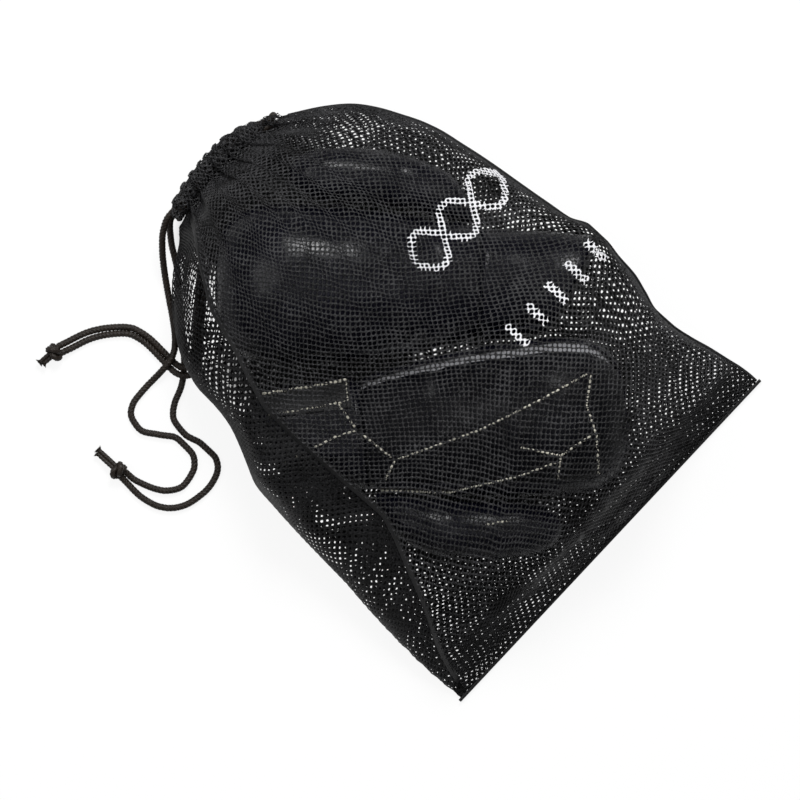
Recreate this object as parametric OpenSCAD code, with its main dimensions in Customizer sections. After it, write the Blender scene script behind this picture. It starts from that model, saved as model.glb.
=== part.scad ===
// Mesh drawstring carry bag with a pair of boxing gloves inside, laid flat.
// Millimetres. Origin: middle of the underside. +Y runs from the bottom seam
// to the drawn mouth, +Z is up.

/* [Bag] */
// Width of the bag between its side edges
bag_width = 353; // [349:1:365]
// Length from the bottom seam to the top of the drawn hem
bag_length = 450; // [446:1:462]
// Height of the side edges beside the gloves
edge_height = 30; // [26:1:34]
// Thickness of the mesh
net_thickness = 1; // [0.8:0.1:1.2]
// Width of the side seam tape
seam_width = 6; // [4:0.5:7]

/* [Drawn mouth] */
// Width of the gathered hem from end to end
mouth_width = 100; // [92:1:108]
// Outside radius of a hem casing on a pleat
hem_radius = 8.2; // [7.8:0.1:8.6]
// Number of pleats along a casing
hem_pleats = 8; // [6:1:10]
// How far the hem bows away from the gloves
hem_arch = 7; // [5:1:9]

/* [Drawcords] */
// Diameter of the braided cord
cord_diameter = 4.5; // [3.6:0.1:4.7]
// Radius of a turn of the knots
knot_turn = 5; // [4.6:0.2:6]

/* [Gloves] */
// Length of a glove from the cuff to the fist
glove_length = 296; // [286:1:300]
// Width of the fist without the thumb
fist_width = 126; // [120:1:127]
// Thickness of the fist
fist_thickness = 116; // [108:1:118]
// Width of the cuff at its end
cuff_width = 78; // [74:1:80]
// Diameter of the padded thumb
thumb_diameter = 46; // [42:1:48]
// Thickness of the leather
leather = 1.5; // [1.2:0.1:1.8]
// Thickness of the lining
lining_thickness = 1; // [0.8:0.1:1.2]
// Width of the wrist strap along the cuff
strap_width = 76; // [60:1:76]
// Thickness of the wrist strap
strap_thickness = 2.4; // [2:0.1:2.6]
// Length of the sewn label
label_length = 70; // [50:1:72]

/* [Fits] */
// Seat between pieces that touch
seat = 0.28; // [0.24:0.01:0.32]
// Room between the gloves and the mesh over them
net_room = 4; // [3.5:0.1:5]

/* [Hidden] */
$fn = 32;

mesh_black = [0.06, 0.06, 0.065];
tape_black = [0.03, 0.03, 0.03];
cord_brown = [0.12, 0.1, 0.09];
skin_navy = [0.05, 0.05, 0.1];
foam_grey = [0.45, 0.45, 0.47];
cloth_grey = [0.12, 0.12, 0.13];
label_black = [0.08, 0.08, 0.08];

// ---- general helpers ----

function smooth(t) = let (c = min(1, max(0, t))) c * c * (3 - 2 * c);
function mix(a, b, t) = a + (b - a) * t;
function spow(a, e) = sign(a) * pow(abs(a), e);

// Faces between two equal grids of rows x columns; A is the outside.
// ring = true joins the last column to the first one.
function slab_faces(r, c, ring, turn) =
  let (
    s = r * c,
    m = ring ? c : c - 1,
    f = concat(
      [for (i = [0:r-2], j = [0:m-1]) let (k = (j + 1) % c)
        each [[i*c+j, i*c+k, (i+1)*c+k], [i*c+j, (i+1)*c+k, (i+1)*c+j]]],
      [for (i = [0:r-2], j = [0:m-1]) let (k = (j + 1) % c)
        each [[s+i*c+j, s+(i+1)*c+k, s+i*c+k], [s+i*c+j, s+(i+1)*c+j, s+(i+1)*c+k]]],
      [for (j = [0:m-1]) let (k = (j + 1) % c)
        each [[j, s+j, s+k], [j, s+k, k]]],
      [for (j = [0:m-1]) let (k = (j + 1) % c, b = (r - 1) * c)
        each [[b+j, b+k, s+b+k], [b+j, s+b+k, s+b+j]]],
      ring ? [] : [for (i = [0:r-2])
        each [[i*c, (i+1)*c, s+(i+1)*c], [i*c, s+(i+1)*c, s+i*c]]],
      ring ? [] : [for (i = [0:r-2]) let (e = c - 1)
        each [[i*c+e, s+(i+1)*c+e, (i+1)*c+e], [i*c+e, s+i*c+e, s+(i+1)*c+e]]]
    )
  )
  turn ? f : [for (t = f) [t[2], t[1], t[0]]];

module slab(a, b, ring = false, turn = false) {
  polyhedron(
    points = concat([for (row = a) each row], [for (row = b) each row]),
    faces = slab_faces(len(a), len(a[0]), ring, turn),
    convexity = 8
  );
}

// A closed loft over rings of equal point counts.
function loft_faces(r, c) =
  let (f = concat(
    [for (i = [0:r-2], j = [0:c-1]) let (k = (j + 1) % c)
      each [[i*c+j, i*c+k, (i+1)*c+k], [i*c+j, (i+1)*c+k, (i+1)*c+j]]],
    [for (j = [1:c-2]) [0, j + 1, j]],
    [for (j = [1:c-2]) [(r-1)*c, (r-1)*c + j, (r-1)*c + j + 1]]
  ))
  [for (t = f) [t[2], t[1], t[0]]];

module loft(rings) {
  polyhedron(
    points = [for (row = rings) each row],
    faces = loft_faces(len(rings), len(rings[0])),
    convexity = 6
  );
}

// A pocket: outer rings and inner rings, open at the first ring of each.
module pocket(outer, inner) {
  c = len(outer[0]);
  r = len(outer);
  q = len(inner);
  s = r * c;
  f = concat(
    [for (i = [0:r-2], j = [0:c-1]) let (k = (j + 1) % c)
      each [[i*c+j, i*c+k, (i+1)*c+k], [i*c+j, (i+1)*c+k, (i+1)*c+j]]],
    [for (i = [0:q-2], j = [0:c-1]) let (k = (j + 1) % c)
      each [[s+i*c+j, s+(i+1)*c+k, s+i*c+k], [s+i*c+j, s+(i+1)*c+j, s+(i+1)*c+k]]],
    [for (j = [0:c-1]) let (k = (j + 1) % c) each [[j, s+j, s+k], [j, s+k, k]]],
    [for (j = [1:c-2]) [(r-1)*c, (r-1)*c + j, (r-1)*c + j + 1]],
    [for (j = [1:c-2]) let (b = s + (q-1)*c) [b, b + j + 1, b + j]]
  );
  polyhedron(
    points = concat([for (row = outer) each row], [for (row = inner) each row]),
    faces = [for (t = f) [t[2], t[1], t[0]]],
    convexity = 8
  );
}

// Round cord swept along route points, eight sides.
function unit(v) = v / max(1e-9, norm(v));
function tangent(p, i) = unit(p[min(len(p) - 1, i + 1)] - p[max(0, i - 1)]);
// side vectors carried along the route without twist
function carried(p, a, i = 0) =
  let (t = tangent(p, i), b = unit(a - (a * t) * t))
  i == len(p) - 1 ? [b] : concat([b], carried(p, b, i + 1));

module cord(p, d) {
  side = carried(p, [0, 1, 0.2]);
  loft([for (i = [0:len(p)-1]) let (t = tangent(p, i), a = side[i], b = cross(t, a))
    [for (k = [0:7]) p[i] + d / 2 * (cos(k * 45 + 22.5) * a + sin(k * 45 + 22.5) * b)]]);
}

// ---- gloves: stations along the hand, 0 at the cuff's end ----

gs = glove_length / 296;
ws = fist_width / 126;
hs = fist_thickness / 116;
cs = cuff_width / 78;
// how much of a station belongs to the cuff (1) or to the fist (0)
function cuffness(x) = 1 - smooth((x - 40) / 110);
function wide(x) = mix(ws, cs, cuffness(x));
function high(x) = mix(hs, 1, cuffness(x));
// half width on the thumb side and on the other side, half heights
function side_p(x) = wide(x) * lookup(x,
  [[0,38],[20,40],[75,43],[110,49],[150,55],[200,60],[240,62],[262,61],[276,56],
   [286,48],[293,36],[296,24]]);
function side_m(x) = wide(x) * lookup(x,
  [[0,37],[20,38],[75,43],[110,51],[150,58],[200,63],[240,64],[262,62],[276,57],
   [286,49],[293,37],[296,24]]);
function back_h(x) = high(x) * lookup(x,
  [[0,36],[20,35],[75,38],[110,44],[150,52],[200,57],[240,56],[262,50],[276,42],
   [286,32],[293,21],[296,11]]);
function palm_h(x) = high(x) * lookup(x,
  [[0,36],[20,35],[75,33],[110,34],[150,38],[190,48],[225,57],[245,59],[262,56],
   [276,48],[286,37],[293,24],[296,12]]);
// hollow for the hand: half width, half height, height of its middle
function hand_w(x) = mix(ws, cs, cuffness(x)) * lookup(x,
  [[0,34],[75,37],[110,42],[150,46],[200,44],[215,34],[224,20]]);
function hand_h(x) = lookup(x,
  [[0,31],[75,28],[110,27],[150,26],[200,22],[215,17],[224,9]]);
function hand_z(x) = lookup(x, [[0,0],[75,1],[110,1],[150,-1],[200,-6],[224,-8]]);

// Cuff end cut at a slant: everything near it is sheared alike.
function lean(p, k) =
  [gs * (p[0] + (k[0] * p[1] + k[1]) * (1 - min(1, max(0, p[0] / 90)))), p[1], p[2]];

// Point of the outer form at station x and angle a, d inside it.
function form(x, a, d, k) =
  let (
    s = smooth((x - 205) / 85),
    q = d * (1 - s),
    w = cos(a) >= 0 ? side_p(x) - q : side_m(x) - q,
    h = sin(a) >= 0 ? back_h(x) - q : palm_h(x) - q
  )
  lean([x - d * s, w * spow(cos(a), 0.87), h * spow(sin(a), 0.87)], k);

// Point of the hollow's wall, d outside it.
function hollow(x, a, d, k) =
  let (s = smooth((x - 190) / 34))
  lean([
    x + d * s,
    (hand_w(x) + d) * spow(cos(a), 0.87),
    hand_z(x) + (hand_h(x) + d) * spow(sin(a), 0.87)
  ], k);

ROUND = [for (i = [0:19]) i * 18];
CUFF_END = 4;
CUFF_TOP = 87;
FIST_X = [88, 108, 130, 152, 176, 200, 222, 243, 260, 274, 285, 292, 296];
CUFF_X = [CUFF_END, 26, 50, 72, CUFF_TOP];
HAND_X = [CUFF_END, 40, 75, 110, 150, 185, 203, 215, 224];

module g_fist_leather(k) {
  c = [for (i = [-2:11]) i * 18];
  slab(
    [for (x = FIST_X) [for (a = c) form(x, a, 0, k)]],
    [for (x = FIST_X) [for (a = c) form(x, a, leather, k)]]
  );
}

module g_palm_leather(k) {
  c = [for (i = [0:6]) 216 + i * 18];
  d = [for (i = [0:6]) c[i] + (i == 0 ? 0.5 : i == 6 ? -0.5 : 0)];
  slab(
    [for (x = FIST_X) [for (a = d) form(x, a, 0, k)]],
    [for (x = FIST_X) [for (a = d) form(x, a, leather, k)]]
  );
}

module g_foam(k) {
  pocket(
    [for (x = FIST_X) [for (a = ROUND) form(x, a, leather + seat, k)]],
    [for (x = [88, 110, 150, 185, 203, 215, 224])
      [for (a = ROUND) hollow(x, a, lining_thickness + seat, k)]]
  );
}

module g_lining(k) {
  pocket(
    [for (x = HAND_X) [for (a = ROUND) hollow(x, a, lining_thickness, k)]],
    [for (x = HAND_X) [for (a = ROUND) hollow(x, a, 0, k)]]
  );
}

module g_grip_bar(k) {
  c = [for (i = [0:4]) 234 + i * 18];
  slab(
    [for (x = [185, 203]) [for (a = c) hollow(x, a, -seat, k)]],
    [for (x = [185, 203]) [for (a = c) hollow(x, a, -9, k)]]
  );
}

THUMB_X = [92, 103, 118, 138, 160, 184, 206, 221, 231, 237];
function thumb_r(x) = thumb_diameter / 46 * lookup(x,
  [[92,7],[103,16],[118,20.5],[138,22.5],[160,23],[184,23],[206,22],[221,18.5],
   [231,12.5],[237,6]]);
function thumb_gap(x) = lookup(x, [[92,1],[118,1],[145,3],[206,3],[221,6],[237,17]]);
function thumb_y(x) = side_p(x) + thumb_gap(x) + thumb_r(x);
THUMB_Z = -5;

module g_thumb(k) {
  loft([for (x = THUMB_X) [for (i = [0:11])
    [gs * x, thumb_y(x) + thumb_r(x) * cos(i * 30), THUMB_Z + thumb_r(x) * sin(i * 30)]]]);
}

// Tab between the fist and the thumb near its tip.
module g_thumb_tab(k) {
  y = side_p(200) + 0.45;
  e = thumb_gap(200) - 1.5;
  translate([gs * 195, y, THUMB_Z - 3]) {
    cube([10, e, 7]);
  }
}

module g_cuff(k) {
  c = concat([-84], [for (i = [-4:14]) i * 18], [264]);
  slab(
    [for (x = CUFF_X) [for (a = c) form(x, a, 0, k)]],
    [for (x = CUFF_X) [for (a = c) hollow(x, a, lining_thickness + seat, k)]]
  );
}

module g_cuff_binding(k) {
  x = [0, CUFF_END - seat];
  slab(
    [for (p = x) [for (a = ROUND) form(p, a, -0.7, k)]],
    [for (p = x) [for (a = ROUND) hollow(p, a, 0.2, k)]],
    ring = true
  );
}

// Strap from its sewn edge beside the slit to its free end on the back.
function strap_lift(a) = seat + 2.2 * smooth((288 - a) / 72);
STRAP_A = [for (i = [8:16]) i * 18];
STRAP_X = [for (i = [0:4]) 45.5 + strap_width * (i - 2) / 4];

module g_wrist_strap(k) {
  slab(
    [for (x = STRAP_X) [for (a = STRAP_A) form(x, a, -strap_lift(a) - strap_thickness, k)]],
    [for (x = STRAP_X) [for (a = STRAP_A) form(x, a, -strap_lift(a), k)]]
  );
}

module patch(k, angles, length, low, high) {
  x = [for (i = [0:4]) 45.5 + length * (i - 2) / 4];
  slab(
    [for (p = x) [for (a = angles) form(p, a, -high, k)]],
    [for (p = x) [for (a = angles) form(p, a, -low, k)]]
  );
}

module g_loop_patch(k) {
  patch(k, [162, 180, 198], strap_width - 8, seat, seat + 0.8);
}

module g_hook_patch(k) {
  patch(k, [162, 180, 198], strap_width - 8, seat + 1.1, seat + 1.92);
}

module g_label(k) {
  low = seat + 2.2 + strap_thickness + 0.25;
  patch(k, [207, 216, 234, 246], label_length, low, low + 0.9);
}

// Webbing loop sewn into the cuff's end.
LOOP = [[-1.1,-4,33.5],[-9,-6,32],[-19,-11,29],[-26,-19,26],[-27,-28,23],[-20,-33,22],
        [-10,-34,22],[-5,-32,23],[-1.1,-29,24.5]];

module g_hanging_loop(k) {
  // a straight cuff end has its loop pressed back against it
  p = [for (q = LOOP) [k[0] < 0 ? q[0] : 0.3 * q[0] - 1, q[1], q[2]]];
  loft([for (i = [0:len(p)-1]) let (
    t = tangent(p, i),
    a = unit(cross([0, 0, 1], t))
  ) [for (s = [[1,-4],[1,4],[-1,4],[-1,-4]])
    lean(p[i] + 1.1 * s[0] * a + [0, 0, s[1]], k)]]);
}

// ---- gloves in the bag ----

y_mid = bag_length / 2 - 4;
TILT = 5.1;
LEFT_SLANT = [-0.5, 9];
RIGHT_SLANT = [0.35, 10];
RIM = [0, 10, 30, 50, 70, 85, 110, 150, 190, 225, 245, 262, 276];
function strap_extra(x) = x > 7 && x < 84 ? seat + strap_thickness + 0.4 : x < 5 ? 0.7 : 0;
// lift of the cuff's middle so that the glove lies on the lower panel
left_z = net_thickness + 0.5
  + max([for (x = RIM) (palm_h(x) + strap_extra(x)) * cos(TILT)
    - gs * (x + LEFT_SLANT[1] * max(0, 1 - x / 90)) * sin(TILT)]);
right_z = net_thickness + 0.3
  + max([for (x = RIM) (back_h(x) + (x < 5 ? 0.7 : 0)) * cos(TILT) - gs * x * sin(TILT)]);
LEFT_AT = [137, 153];
LEFT_TURN = 133.1;
RIGHT_AT = [-136.3, 257];
RIGHT_TURN = -41.9;

module left_place() {
  translate([LEFT_AT[0], LEFT_AT[1] - y_mid, left_z]) {
    rotate([0, -TILT, LEFT_TURN]) {
      mirror([0, 1, 0]) {
        children();
      }
    }
  }
}

module right_place() {
  translate([RIGHT_AT[0], RIGHT_AT[1] - y_mid, right_z]) {
    rotate([0, -TILT, RIGHT_TURN]) {
      rotate([180, 0, 0]) {
        children();
      }
    }
  }
}

// ---- outline of the filled bag, from the bottom seam (v = 0) up ----

bs = bag_width / 353;
ls = bag_length / 450;
hem_v = bag_length - 4 - hem_radius - hem_arch;
mouth_v = hem_v - 1.06 * hem_radius - seat - 0.1;
MID = 8;
half_mouth = mouth_width / 2;
function plain_left(v) = bs * lookup(v / ls,
  [[-4,-176],[8,-177],[44,-177],[68,-176],[104,-173],[128,-170],[176,-167.5],[200,-165.6],
   [236,-162],[248,-156],[278,-142],[296,-138],[326,-137],[344,-130],[356,-124],
   [374,-111],[394,-93],[414,-68],[424,-54]]);
function plain_right(v) = bs * lookup(v / ls,
  [[-4,176],[8,176],[44,169],[68,163],[92,160],[104,163],[128,170],[152,172],[176,171.6],
   [200,167],[236,161.7],[278,156],[326,147],[344,140],[374,125],[394,111],[414,86],
   [424,70]]);

// Corners of both gloves in plan, with their travel, as [u, v].
function plan(at, turn, x, y) =
  [at[0] + x * cos(turn) + y * sin(turn), at[1] + x * sin(turn) - y * cos(turn)];
PLAN_X = [for (x = [0:12:288]) x];
BULK = [for (g = [[LEFT_AT, LEFT_TURN, LEFT_SLANT], [RIGHT_AT, RIGHT_TURN, RIGHT_SLANT]])
  each [for (x = PLAN_X, s = [0, 6]) let (c = max(0, 1 - x / 90), k = g[2])
    each [
      plan(g[0], g[1], gs * (x + c * (k[0] * side_p(x) + k[1])) + s, side_p(x) + 0.7),
      plan(g[0], g[1], gs * (x + c * (k[1] - k[0] * side_m(x))) + s,
        -side_m(x) - (x > 7 && x < 85 ? 5.4 : 0.7)),
      if (x > 100 && x < 236) plan(g[0], g[1], gs * x + s, thumb_y(x) + thumb_r(x) + 5)
    ]]];
function bag_left(v) = min(plain_left(v),
  min([for (p = BULK) abs(p[1] - v) < 11 ? p[0] - net_room : 0]));
function bag_right(v) = max(plain_right(v),
  max([for (p = BULK) abs(p[1] - v) < 11 ? p[0] + net_room + 2.5 : 0]));
// line of the left side seam over the upper face
function seam_u(v) = max(bag_left(v) + 10, bs * lookup(v / ls,
  [[1,-168],[38,-157],[70,-139],[98,-127],[130,-113],[149,-108],[191,-110],[234,-111],
   [268,-110],[290,-104],[324,-91],[355,-82],[390,-60],[424,-36]]));
function edge_z(v) = lookup(v, [[4,2.15],[14,3],[60,9],[150,edge_height],[380,edge_height],
  [440,28]]);

// Rows from the seam at the bottom to the mouth.
ROWS = 27;
function row_v(i) = i == 0 ? -1 : i == 1 ? 3.6 : i == 2 ? 14
  : mix(28, mouth_v, (i - 3) / (ROWS - 4));
// Columns over the upper face: six left of the seam, then the front panel.
STRIP = [0, 0.05, 0.15, 0.35, 0.65, 1];
FRONT = [0, 0.1, 0.22, 0.34, 0.46, 0.57, 0.67, 0.76, 0.84, 0.905, 0.95, 0.978, 0.992, 1];
COLS = len(STRIP) + len(FRONT);
function col_u(i, j) =
  let (
    v = row_v(i),
    a = bag_left(v),
    m = seam_u(v),
    e = seam_width / 2 + seat,
    b = bag_right(v) - 3
  )
  j < len(STRIP) ? mix(a, m - e, STRIP[j]) : mix(m + e, b, FRONT[j - len(STRIP)]);
// the rows bow towards the hem near the mouth
function bow(v, u) =
  let (t = (u - MID) / half_mouth)
  v + hem_arch * smooth((v - 360) / (mouth_v - 360)) * max(-0.3, 1 - t * t);

// Height of the upper side of a glove over the plan point, widened by the room
// the mesh keeps, taken over the travel of the glove.
function over(at, turn, slant, z, flip, u, v, s) =
  let (
    du = u - at[0],
    dv = v - at[1],
    along = du * cos(turn) + dv * sin(turn) - s,
    y = du * sin(turn) - dv * cos(turn),
    cut = along / gs - (slant[0] * y + slant[1]) * (1 - min(1, max(0, along / 90))),
    grow = net_room + (cut < 88 ? 5 : 0),
    raw = cut > 150 ? 150 + (cut - 150) * 146 / (146 + grow + 2) : cut,
    x0 = max(0, raw),
    h0 = (flip ? palm_h(x0) : back_h(x0)),
    x = min(296, max(0, raw + 0.054 * h0)),
    w = (y > 0 ? side_p(x) : side_m(x)) + grow,
    h = (flip ? palm_h(x) : back_h(x)) + grow,
    r = abs(y) / w,
    tr = thumb_r(min(237, max(92, x))) + grow + 2,
    ty = (y - thumb_y(min(237, max(92, x))) - 2) / tr,
    base = z + along * tan(TILT)
  )
  max(
    cut > -grow && raw < 297 && r < 1 ? base + h * pow(1 - pow(r, 2.3), 1 / 2.3) : 0,
    cut > 88 - grow && cut < 242 + grow && abs(ty) < 1
      ? base + (flip ? -THUMB_Z : THUMB_Z) + tr * sqrt(1 - ty * ty) : 0,
    slant[0] < 0 && cut > -33 && cut <= 0 && y < 5 && y > -42
      ? base + 37 + 0.35 * cut + net_room : 0
  );
function cover(u, v) = max([for (s = [0, 6])
  each [over(LEFT_AT, LEFT_TURN, LEFT_SLANT, left_z, false, u, v, s),
        over(RIGHT_AT, RIGHT_TURN, RIGHT_SLANT, right_z, true, u, v, s)]]);
function cover_near(u, v, du, dv) = max([for (a = [-1, -0.5, 0, 0.5, 1], b = [-1, -0.5, 0, 0.5, 1])
  cover(u + a * du, v + b * dv)]);

front_z = 28 + hem_radius + seat / 2;
back_z = 28 - hem_radius - seat / 2;

// Height field of the upper face: the mesh sinks to the mean of its neighbours
// unless a glove holds it up.
function rim_z(i, j) =
  let (v = row_v(i), u = col_u(i, j), t = (u - MID) / (half_mouth + 14))
  i < 2 ? net_thickness * 1.3 + 1.5
  : i == ROWS - 1 ? mix(edge_z(v), front_z, 1 - min(1, pow(abs(t), 4)))
  : edge_z(v) + (j == COLS - 1 ? 0.9 : 0);
function sink(z, floor_z, n) =
  n == 0 ? z
  : sink([for (i = [0:ROWS-1]) [for (j = [0:COLS-1])
      i < 2 || i == ROWS - 1 || j == 0 || j == COLS - 1 ? z[i][j]
      : max(floor_z[i][j], (z[i-1][j] + z[i+1][j] + z[i][j-1] + z[i][j+1]) / 4)
    ]], floor_z, n - 1);
function draped() =
  let (
    floor_z = [for (i = [0:ROWS-1]) [for (j = [0:COLS-1])
      let (
        u = col_u(i, j),
        v = row_v(i),
        w = j < 1 || j > COLS - 2 ? 1 : (col_u(i, j + 1) - col_u(i, j - 1)) * 0.27
      )
      i < 2 ? 0 : cover_near(u, v, min(7, w), i < 5 ? 4 : 8)]],
    start = [for (i = [0:ROWS-1]) [for (j = [0:COLS-1])
      i < 2 || i == ROWS - 1 || j == 0 || j == COLS - 1 ? rim_z(i, j)
      : max(60, floor_z[i][j])]]
  )
  sink(start, floor_z, 160);

// Height of the lower panel, d from the nearer side edge.
function ahead(u, v) =
  (u - LEFT_AT[0]) * cos(LEFT_TURN) + (v - LEFT_AT[1]) * sin(LEFT_TURN) - 296 * gs;
function low_base(u, v) = max(
  back_z * smooth((v - 346) / (mouth_v - 346)),
  back_z * smooth((ahead(u, v) + 16) / 60));
function low_z(u, v, d) =
  let (b = net_thickness / 2 + low_base(u, v) * (1 - net_thickness / 2 / back_z))
  b + (edge_z(v) - b) * pow(max(0, 1 - d / 16), 3);
LOWER = [0.006, 0.02, 0.045, 0.09, 0.17, 0.3, 0.43, 0.56, 0.69, 0.8, 0.88, 0.94, 0.975, 1];

function at_rows(pts) = [for (p = pts) [p[0], p[1] - y_mid, p[2]]];
// Cross-section offset by d along its normals, in the plane of the row.
function normal(t) = unit([-t[2], 0, t[0]]);
function shifted(p, d, first) = [for (i = [0:len(p)-1])
  let (
    n = normal(p[min(len(p) - 1, i + 1)] - p[max(0, i - 1)]),
    m = i == 0 ? first : i == len(p) - 1 ? unit(n + [0, 0, n[2] < 0 ? -1 : 1]) : n
  ) p[i] + d * m];
// direction in which both panels and the seam between them are thickened
function seam_normal(z, i) =
  let (c = len(STRIP), a = col_u(i, c - 1), b = col_u(i, c))
  normal([b - a, 0, z[i][c] - z[i][c-1]]);

function front_row(z, i) = at_rows([for (j = [len(STRIP):COLS-1])
  let (u = col_u(i, j)) [u, bow(row_v(i), u), z[i][j]]]);
// from the seam leftwards over the edge, then along the underside
function back_row(z, i) =
  let (
    v = row_v(i),
    a = bag_left(v),
    b = bag_right(v) - 3,
    low = i < 2 ? 1.5 * net_thickness : 0
  )
  at_rows(concat(
    [for (j = [len(STRIP)-1:-1:0]) let (u = col_u(i, j)) [u, bow(v, u), z[i][j]]],
    [for (f = LOWER) let (
      u = mix(a, b, f),
      d = min(u - a, b + 1.5 - u),
      t = (u - MID) / (half_mouth + 14)
    ) [u, bow(v, u), i < 2 ? low
        : i == ROWS - 1 ? mix(edge_z(v) - 0.9, back_z, 1 - min(1, pow(abs(t), 4)))
        : low_z(u, v, max(0, d)) - (f == 1 ? 0.9 : 0)]]
  ));

module front_net_panel() {
  color(mesh_black) {
    z = draped();
    slab(
      [for (i = [0:ROWS-1])
        shifted(front_row(z, i), net_thickness / 2, seam_normal(z, i))],
      [for (i = [0:ROWS-1])
        shifted(front_row(z, i), -net_thickness / 2, seam_normal(z, i))]
    );
  }
}

module back_net_panel() {
  color(mesh_black) {
    z = draped();
    slab(
      [for (i = [0:ROWS-1])
        shifted(back_row(z, i), -net_thickness / 2, -seam_normal(z, i))],
      [for (i = [0:ROWS-1])
        shifted(back_row(z, i), net_thickness / 2, -seam_normal(z, i))],
      turn = true
    );
  }
}

module left_side_seam() {
  color(tape_black) {
    z = draped();
    c = len(STRIP);
    rows = [for (i = [0:ROWS-1]) let (v = row_v(i), m = seam_u(v), w = seam_width / 2)
      at_rows([[m - w, bow(v, m - w), z[i][c-1]], [m + w, bow(v, m + w), z[i][c]]])];
    h = [for (i = [0:ROWS-1]) i < 2 ? net_thickness / 2 : 1.1];
    slab(
      [for (i = [0:ROWS-1]) [for (p = rows[i]) p + h[i] * seam_normal(z, i)]],
      [for (i = [0:ROWS-1]) [for (p = rows[i]) p - h[i] * seam_normal(z, i)]]
    );
  }
}

module right_side_seam() {
  color(tape_black) {
    rows = [for (i = [0:ROWS-1]) let (v = row_v(i), b = bag_right(v) - 3, z = edge_z(v))
      at_rows([[b + 0.6, bow(v, b + 0.6), z], [b + 3, bow(v, b + 3), z]])];
    h = [for (i = [0:ROWS-1]) i < 2 ? 1.1 : 1.6];
    slab(
      [for (i = [0:ROWS-1]) [for (p = rows[i]) p + [0, 0, h[i]]]],
      [for (i = [0:ROWS-1]) [for (p = rows[i]) p - [0, 0, h[i]]]]
    );
  }
}

// Folded tape that closes the bottom of both panels.
module bottom_binding() {
  t = net_thickness;
  a = bag_left(0) - 0.5;
  b = bag_right(0) + 0.5;
  color(tape_black) {
    translate([a, -y_mid, 0]) {
      rotate([90, 0, 90]) {
        linear_extrude(b - a) {
          polygon([
            [-4, 0], [3, 0], [3, t - seat], [-1 - seat, t - seat],
            [-1 - seat, 1.8 * t + 1.5 + seat], [3, 1.8 * t + 1.5 + seat],
            [3, 1.8 * t + 2.3 + seat], [-4, 1.8 * t + 2.3 + seat]
          ]);
        }
      }
    }
  }
}

// ---- gathered casings and the cords in them ----

cord_off = cord_diameter / 2 + 0.2;
bore = cord_diameter + 1.2;
HEM_N = 2 * hem_pleats;
function hem_pt(t, z, off) =
  [MID + half_mouth * t, hem_v + hem_arch * (1 - t * t) + off - y_mid, z];

module hem_casing(z) {
  p = [for (i = [0:HEM_N]) hem_pt(-1 + 2 * i / HEM_N, z, 0)];
  rings = function (out) [for (i = [0:HEM_N]) let (
      t = tangent(p, i),
      a = unit(cross([0, 0, 1], t)),
      r = out ? hem_radius - 0.45 * (1 - cos(180 * i)) : bore
    ) [for (k = [0:7]) p[i] + r * (cos(k * 45) * a + sin(k * 45) * [0, 0, 1])]];
  slab(rings(true), rings(false), ring = true);
}

module front_hem_casing() {
  color(mesh_black) {
    hem_casing(front_z);
  }
}

module back_hem_casing() {
  color(mesh_black) {
    hem_casing(back_z);
  }
}

// A cord goes through one casing, turns at its end and comes back by the other.
function hem_run(side) =
  let (
    off = -side * cord_off,
    e = MID + side * -half_mouth,
    v = hem_v + off - y_mid,
    d = -side,
    w = side > 0 ? -1 : 0.3
  )
  concat(
    [for (t = [-1, -0.6, -0.2, 0.2, 0.6, 1]) hem_pt(t * d, front_z, off)],
    [[e + d * 3.2, v + w, front_z - 0.7], [e + d * 7.2, v + 2 * w, front_z - 3.8],
     [e + d * 8.8, v + 2.4 * w, 28], [e + d * 7.2, v + 2 * w, back_z + 3.8],
     [e + d * 3.2, v + w, back_z + 0.7]],
    [for (t = [1, 0.6, 0.2, -0.2, -0.6, -1]) hem_pt(t * d, back_z, off)]
  );

module hem_cord(side) {
  p = hem_run(side);
  cord(p, cord_diameter);
}

module left_exit_drawcord() {
  color(cord_brown) {
    hem_cord(-1);
  }
}

module right_exit_drawcord() {
  color(cord_brown) {
    hem_cord(1);
  }
}

// Tails, as [u, v, z] from the hem to the knot.
function tail(from, route) = concat([from], at_rows(route));

module left_cord_upper_tail() {
  color(cord_brown) {
    cord(tail(hem_pt(-1, front_z, cord_off) - [0.9, 0.2, 0], [
      [-52, 433, 35], [-63, 429, 29], [-76, 418.5, 20], [-89, 404, 8], [-99, 391, 3],
      [-110, 376, 2.4], [-121, 363, 3], [-129, 356.5, 7], [-138, 353.5, 9],
      [-149, 353.2, 6.5], [-162, 353.6, 2.4], [-178, 353, 2.4], [-190, 347, 2.4],
      [-193.5, 334, 2.4], [-186, 320, 2.4], [-178, 306, 2.4], [-178.5, 291, 2.4],
      [-188, 280, 2.4], [-202, 277.5, 2.4], [-215, 285, 2.4], [-223, 300, 2.4],
      [-226.2, 313, 3], [-226.2, 318.8, 5]
    ]), cord_diameter);
  }
}

module left_cord_lower_tail() {
  color(cord_brown) {
    cord(tail(hem_pt(-1, back_z, cord_off) - [0.9, 0.2, 0], [
      [-52, 431.5, 15], [-65, 420, 5], [-79, 400, 2.4], [-97, 381, 2.4],
      [-118, 357, 2.4], [-134, 341, 2.4], [-146, 333, 2.4], [-160, 327.5, 2.4],
      [-169.5, 318.5, 2.4], [-171.5, 304, 2.4], [-168, 290, 2.4], [-168, 276, 2.4],
      [-176, 265, 2.4], [-191, 261.5, 2.4], [-208, 264, 2.4], [-222, 272, 2.4],
      [-230, 285, 2.4], [-232.5, 300, 2.4], [-231.8, 313, 3],
      [-231.5, 320.6, 5.8]
    ]), cord_diameter);
  }
}

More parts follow.
